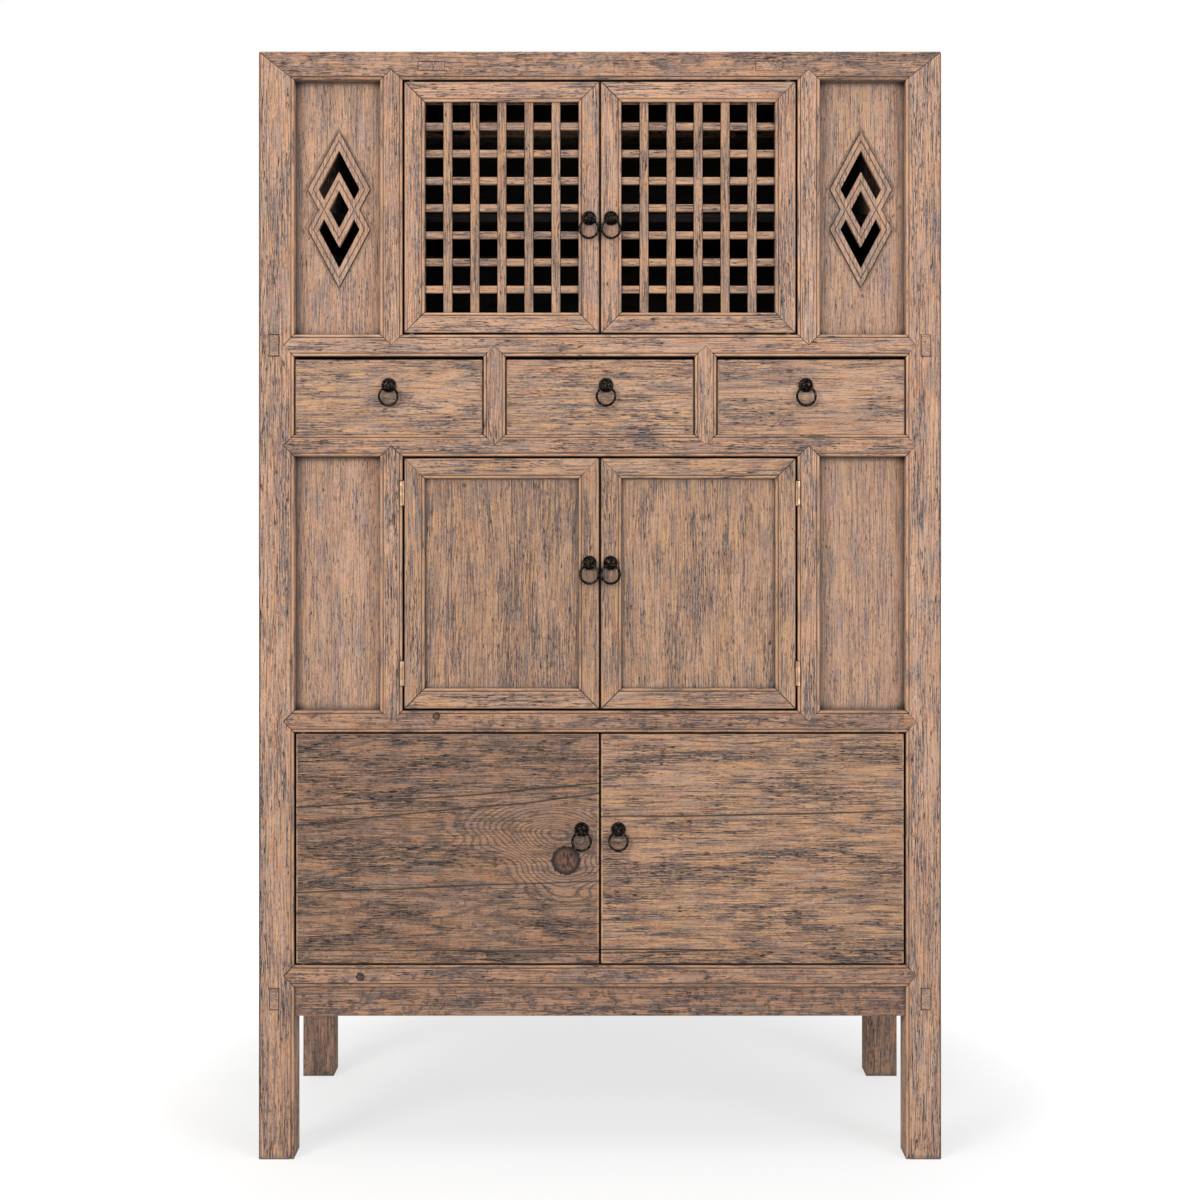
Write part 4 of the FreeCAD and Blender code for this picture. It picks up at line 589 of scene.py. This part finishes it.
# %% Blackened iron and hinge steel
def worn_metal(name, dark, bright, roughness, grit_mm):
    """Metal whose tone and roughness wander at the size of its scale or scratches."""
    material, tree = new_material(name)
    place = add(tree, "TexCoord", {}, {}, 3)
    grit = add(tree, "TexNoise", {}, {"Vector": place, "Scale": per_metre(grit_mm)[0], "Detail": 5.0})
    tone = add(tree, "MapRange", SOFT, {"Value": grit, "From Min": 0.48, "From Max": 0.66})
    colour = add(tree, "Mix", MIX_COLOUR, {"Factor_Float": tone, "A_Color": linear(dark),
                                           "B_Color": linear(bright)}, MIXED)
    rough = add(tree, "MapRange", {}, {"Value": tone, "To Min": roughness + 0.12,
                                       "To Max": roughness - 0.08})
    bump = add(tree, "Bump", {}, {"Height": grit, "Strength": 0.5, "Distance": 0.3 * MM})
    shader = add(tree, "BsdfPrincipled", {}, {"Base Color": colour, "Metallic": 1.0, "Roughness": rough,
                                              "Normal": bump})
    add(tree, "OutputMaterial", {}, {"Surface": shader})
    return material


black_iron = worn_metal("blackened forged iron", "#0c0a09", "#4c423c", 0.42, 2)
hinge_steel = worn_metal("aged hinge steel", "#a98b72", "#c9ac90", 0.5, 12)


SMOOTH_ANGLE = math.radians(35)
SAME_METAL_SPOT = 0.001 * MM
FULL_TURN = {"dvec": (0, 0, 0), "angle": math.tau, "use_merge": True, "use_normal_flip": False,
             "use_duplicate": False}


def finish_piece(shape, name, node, material):
    """Makes an object of a bmesh that stands for a CAD node and rides with its body."""
    bmesh.ops.remove_doubles(shape, verts=shape.verts, dist=SAME_METAL_SPOT)
    bmesh.ops.recalc_face_normals(shape, faces=shape.faces)
    mesh = bpy.data.meshes.new(name)
    shape.to_mesh(mesh)
    shape.free()
    mesh.shade_smooth()
    mesh.set_sharp_from_angle(angle=SMOOTH_ANGLE)
    mesh.materials.append(material)
    piece = bpy.data.objects.new(name, mesh)
    bpy.context.scene.collection.objects.link(piece)
    source = frame["nodes"][node]
    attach(piece, source["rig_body"])
    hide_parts(node)
    return piece


# %% [markdown]
# A ring is a circle swept round a larger circle. The wire's circle is made flat, moved out to the
# ring's radius and spun through a full turn, with the first and last steps merged.

# %% Iron rings
WIRE_SIDES, RING_STEPS = 14, 56


def iron_ring(node):
    """The round ring of a pull, of the same diameters as its CAD node."""
    low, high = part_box(node)
    centre = (low + high) / 2
    wire = (high.y - low.y) / 2
    radius = (high.x - low.x) / 2 - wire
    shape = bmesh.new()
    bmesh.ops.create_circle(shape, segments=WIRE_SIDES, radius=wire)
    bmesh.ops.translate(shape, verts=shape.verts, vec=(radius, 0, 0))
    bmesh.ops.spin(shape, geom=shape.verts[:] + shape.edges[:], cent=(0, 0, 0), axis=(0, 1, 0),
                   steps=RING_STEPS, **FULL_TURN)
    bmesh.ops.translate(shape, verts=shape.verts, vec=centre)
    return finish_piece(shape, node + "_round", node, black_iron)


# %% [markdown]
# The boss is an outline of a few points turned about the axis that stands out of the door: a rim that
# rounds over, a ring-shaped hollow and the raised centre. The eye that holds the ring is turned about
# its own hole, and a short neck joins it to the boss. Behind the wood, the two legs of the split pin
# lie flat.

# %% Iron bosses
BOSS_STEPS, EYE_STEPS = 40, 24
# Radius and height over the door, in millimetres, from the rim to the middle
BOSS_OUTLINE = [(11.9, -0.2), (11.9, 1.6), (11.3, 3.1), (10.1, 4.0), (9.0, 3.6), (8.3, 2.4), (6.6, 2.0),
                (4.6, 2.7), (2.4, 3.8), (0, 4.2)]
NOSE_REACH, EYE_RADIUS, EYE_HOLE, EYE_WIDTH, EYE_BEVEL = 13.5 * MM, 4.8 * MM, 2.6 * MM, 6 * MM, 0.8 * MM
NECK_HALF, NECK_START, NECK_ROOT, NECK_BEVEL = 2.3 * MM, 1.2 * EYE_HOLE, 1.5 * MM, 0.3 * MM
PIN_WIDTH, LEG_THICKNESS, LEG_REACH, LEG_BEVEL = 4 * MM, 1.6 * MM, 12 * MM, 0.4 * MM


def block(shape, low, high, bevel):
    """Adds a box between two corners to a bmesh, with its edges rounded."""
    size = Vector(high) - Vector(low)
    place = Matrix.Translation((Vector(low) + Vector(high)) / 2) @ Matrix.Diagonal((*size, 1))
    made = bmesh.ops.create_cube(shape, size=1, matrix=place)
    edges = {edge for vert in made["verts"] for edge in vert.link_edges}
    bmesh.ops.bevel(shape, geom=list(edges), offset=bevel, segments=2, **BEVEL)


def turned_outline(shape, points, centre, axis, steps, closed):
    """Spins a line of points about an axis through a centre, as a full turn."""
    corners = [shape.verts.new(point) for point in points]
    lines = [shape.edges.new(pair) for pair in zip(corners, corners[1:])]
    if closed:
        lines.append(shape.edges.new((corners[-1], corners[0])))
    bmesh.ops.spin(shape, geom=corners + lines, cent=centre, axis=axis, steps=steps, **FULL_TURN)


def iron_boss(node, ring_node):
    """A dished boss with its eye and split pin, at the place of its CAD node."""
    low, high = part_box(node)
    ring_low, ring_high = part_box(ring_node)
    x, z = (low.x + high.x) / 2, (low.z + high.z) / 2
    face = low.y + NOSE_REACH
    eye = Vector((x, (ring_low.y + ring_high.y) / 2, ring_high.z - (ring_high.y - ring_low.y) / 2))
    shape = bmesh.new()
    outline = [Vector((x + r * MM, face - h * MM, z)) for r, h in BOSS_OUTLINE]
    turned_outline(shape, outline, Vector((x, face, z)), (0, 1, 0), BOSS_STEPS, False)
    half, flat, wall = EYE_WIDTH / 2, EYE_WIDTH / 2 - EYE_BEVEL, EYE_RADIUS - EYE_BEVEL
    eye_section = [(-half, EYE_HOLE), (half, EYE_HOLE), (half, wall), (flat, EYE_RADIUS),
                   (-flat, EYE_RADIUS), (-half, wall)]
    section = [eye + Vector((across, 0, out)) for across, out in eye_section]
    turned_outline(shape, section, eye, (1, 0, 0), EYE_STEPS, True)
    block(shape, (x - NECK_HALF, eye.y + NECK_START, eye.z - NECK_HALF),
          (x + NECK_HALF, face - NECK_ROOT, eye.z + NECK_HALF), NECK_BEVEL)
    block(shape, (x - PIN_WIDTH / 2, high.y - LEG_THICKNESS, z - LEG_REACH),
          (x + PIN_WIDTH / 2, high.y, z + LEG_REACH), LEG_BEVEL)
    return finish_piece(shape, node + "_round", node, black_iron)


holders = [name[:-len("_pull_boss")] for name in frame["nodes"] if name.endswith("_pull_boss")]
for holder in holders:
    iron_boss(holder + "_pull_boss", holder + "_pull_ring")
    iron_ring(holder + "_pull_ring")
for node_name in frame["nodes"]:
    if "hinge_leaves" in node_name:
        frame["nodes"][node_name].material_slots[0].material = hinge_steel
print("ring pulls", len(holders))

# %% [markdown]
# The photograph was taken in a white studio. For the eye the floor and backdrop are plain white, while
# the cabinet is lit by soft boxes. The floor glows for camera rays just below white and takes the rest
# from the lamps, so a pale grey shadow stays under the legs.

# %% Floor and white surroundings
FLOOR_REACH = 30
FLOOR_GLOW, FLOOR_SHARE = 0.65, 0.42
SHADOW_REACH, WHITE_REACH = 0.6, 1.3
floor_shape = bmesh.new()
bmesh.ops.create_grid(floor_shape, x_segments=1, y_segments=1, size=FLOOR_REACH)
floor_mesh = bpy.data.meshes.new("floor")
floor_shape.to_mesh(floor_mesh)
floor_shape.free()
floor = bpy.data.objects.new("floor", floor_mesh)
bpy.context.scene.collection.objects.link(floor)
paper, paper_tree = new_material("white studio paper")
rays = paper_tree.nodes.new("ShaderNodeLightPath")
seen = add(paper_tree, "Math", MAXIMUM, {"Value": rays.outputs["Is Camera Ray"],
                                         "Value_001": rays.outputs["Is Glossy Ray"]})
# The grey stays near the legs: further out the floor glows fully white
spot = add(paper_tree, "TexCoord", {}, {}, 3)
far = add(paper_tree, "VectorMath", LENGTH, {"Vector": spot}, 1)
level = add(paper_tree, "MapRange", SOFT, {"Value": far, "From Min": SHADOW_REACH,
                                           "From Max": WHITE_REACH, "To Min": FLOOR_GLOW, "To Max": 1.0})
shine = add(paper_tree, "Math", TIMES, {"Value": seen, "Value_001": level})
glow = add(paper_tree, "Emission", {}, {"Color": (1, 1, 1, 1), "Strength": shine})
matt = add(paper_tree, "BsdfDiffuse", {}, {"Color": (FLOOR_SHARE, FLOOR_SHARE, FLOOR_SHARE, 1)})
both = paper_tree.nodes.new("ShaderNodeAddShader")
paper_tree.links.new(glow, both.inputs[0])
paper_tree.links.new(matt, both.inputs[1])
add(paper_tree, "OutputMaterial", {}, {"Surface": both.outputs[0]})
floor_mesh.materials.append(paper)

world = bpy.data.worlds.new("white studio")
bpy.context.scene.world = world
world.use_nodes = True
sky = world.node_tree
sky.nodes.clear()
rays = sky.nodes.new("ShaderNodeLightPath")
seen = add(sky, "Math", MAXIMUM, {"Value": rays.outputs["Is Camera Ray"],
                                  "Value_001": rays.outputs["Is Glossy Ray"]})
ROOM_LIGHT = 0.42
strength = add(sky, "MapRange", {}, {"Value": seen, "To Min": ROOM_LIGHT, "To Max": 1.0})
backdrop = add(sky, "Background", {}, {"Color": (1, 1, 1, 1), "Strength": strength})
add(sky, "OutputWorld", {}, {"Surface": backdrop})
print("floor and world", floor.name, world.name)


# %% [markdown]
# Two large soft boxes stand in front, one on each side and a little above, and one hangs over the top.
# The left one is stronger, so beads and bevels get a light and a dark side.

# %% Lamps
def soft_box(name, place, size, watts, tint):
    """A square area lamp that faces the middle of the cabinet."""
    lamp = bpy.data.lights.new(name, "AREA")
    lamp.shape = "SQUARE"
    lamp.size = size
    lamp.energy = watts
    lamp.color = linear(tint)[:3]
    box = bpy.data.objects.new(name, lamp)
    bpy.context.scene.collection.objects.link(box)
    box.location = place
    box.rotation_euler = (middle - Vector(place)).to_track_quat("-Z", "Y").to_euler()


soft_box("left soft box", (-2.6, -3.4, 2.2), 1.6, 84, "#fffbf5")
soft_box("right soft box", (2.8, -3.2, 1.6), 1.8, 62, "#f1f7ff")
soft_box("top soft box", (0, -1.2, 4.4), 2.2, 34, "#ffffff")
print("lamps", len(bpy.data.lights))

# %% [markdown]
# The camera looks straight at the front, so the posts stand upright in the picture. The photograph was
# taken from above the middle with its lens shifted down. The camera here stands a little lower and
# takes part of that shift, so that the same camera also frames the cabinet from its other sides.

# %% Camera
CAMERA_DISTANCE = 2827 * MM
FRAME_WIDTH = 2003 * MM
FRAME_MIDDLE = 934 * MM
SHIFT = -0.065
SENSOR_WIDTH_MM = 36
view = bpy.data.cameras.new("camera")
view.sensor_width = SENSOR_WIDTH_MM
view.lens = view.sensor_width * CAMERA_DISTANCE / FRAME_WIDTH
view.shift_y = SHIFT
camera = bpy.data.objects.new("camera", view)
bpy.context.scene.collection.objects.link(camera)
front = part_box("post_front_left")[0].y
camera.location = (0, front - CAMERA_DISTANCE, FRAME_MIDDLE - SHIFT * FRAME_WIDTH)
camera.rotation_euler = (math.pi / 2, 0, 0)
bpy.context.scene.camera = camera
bpy.context.scene.view_settings.view_transform = "Standard"
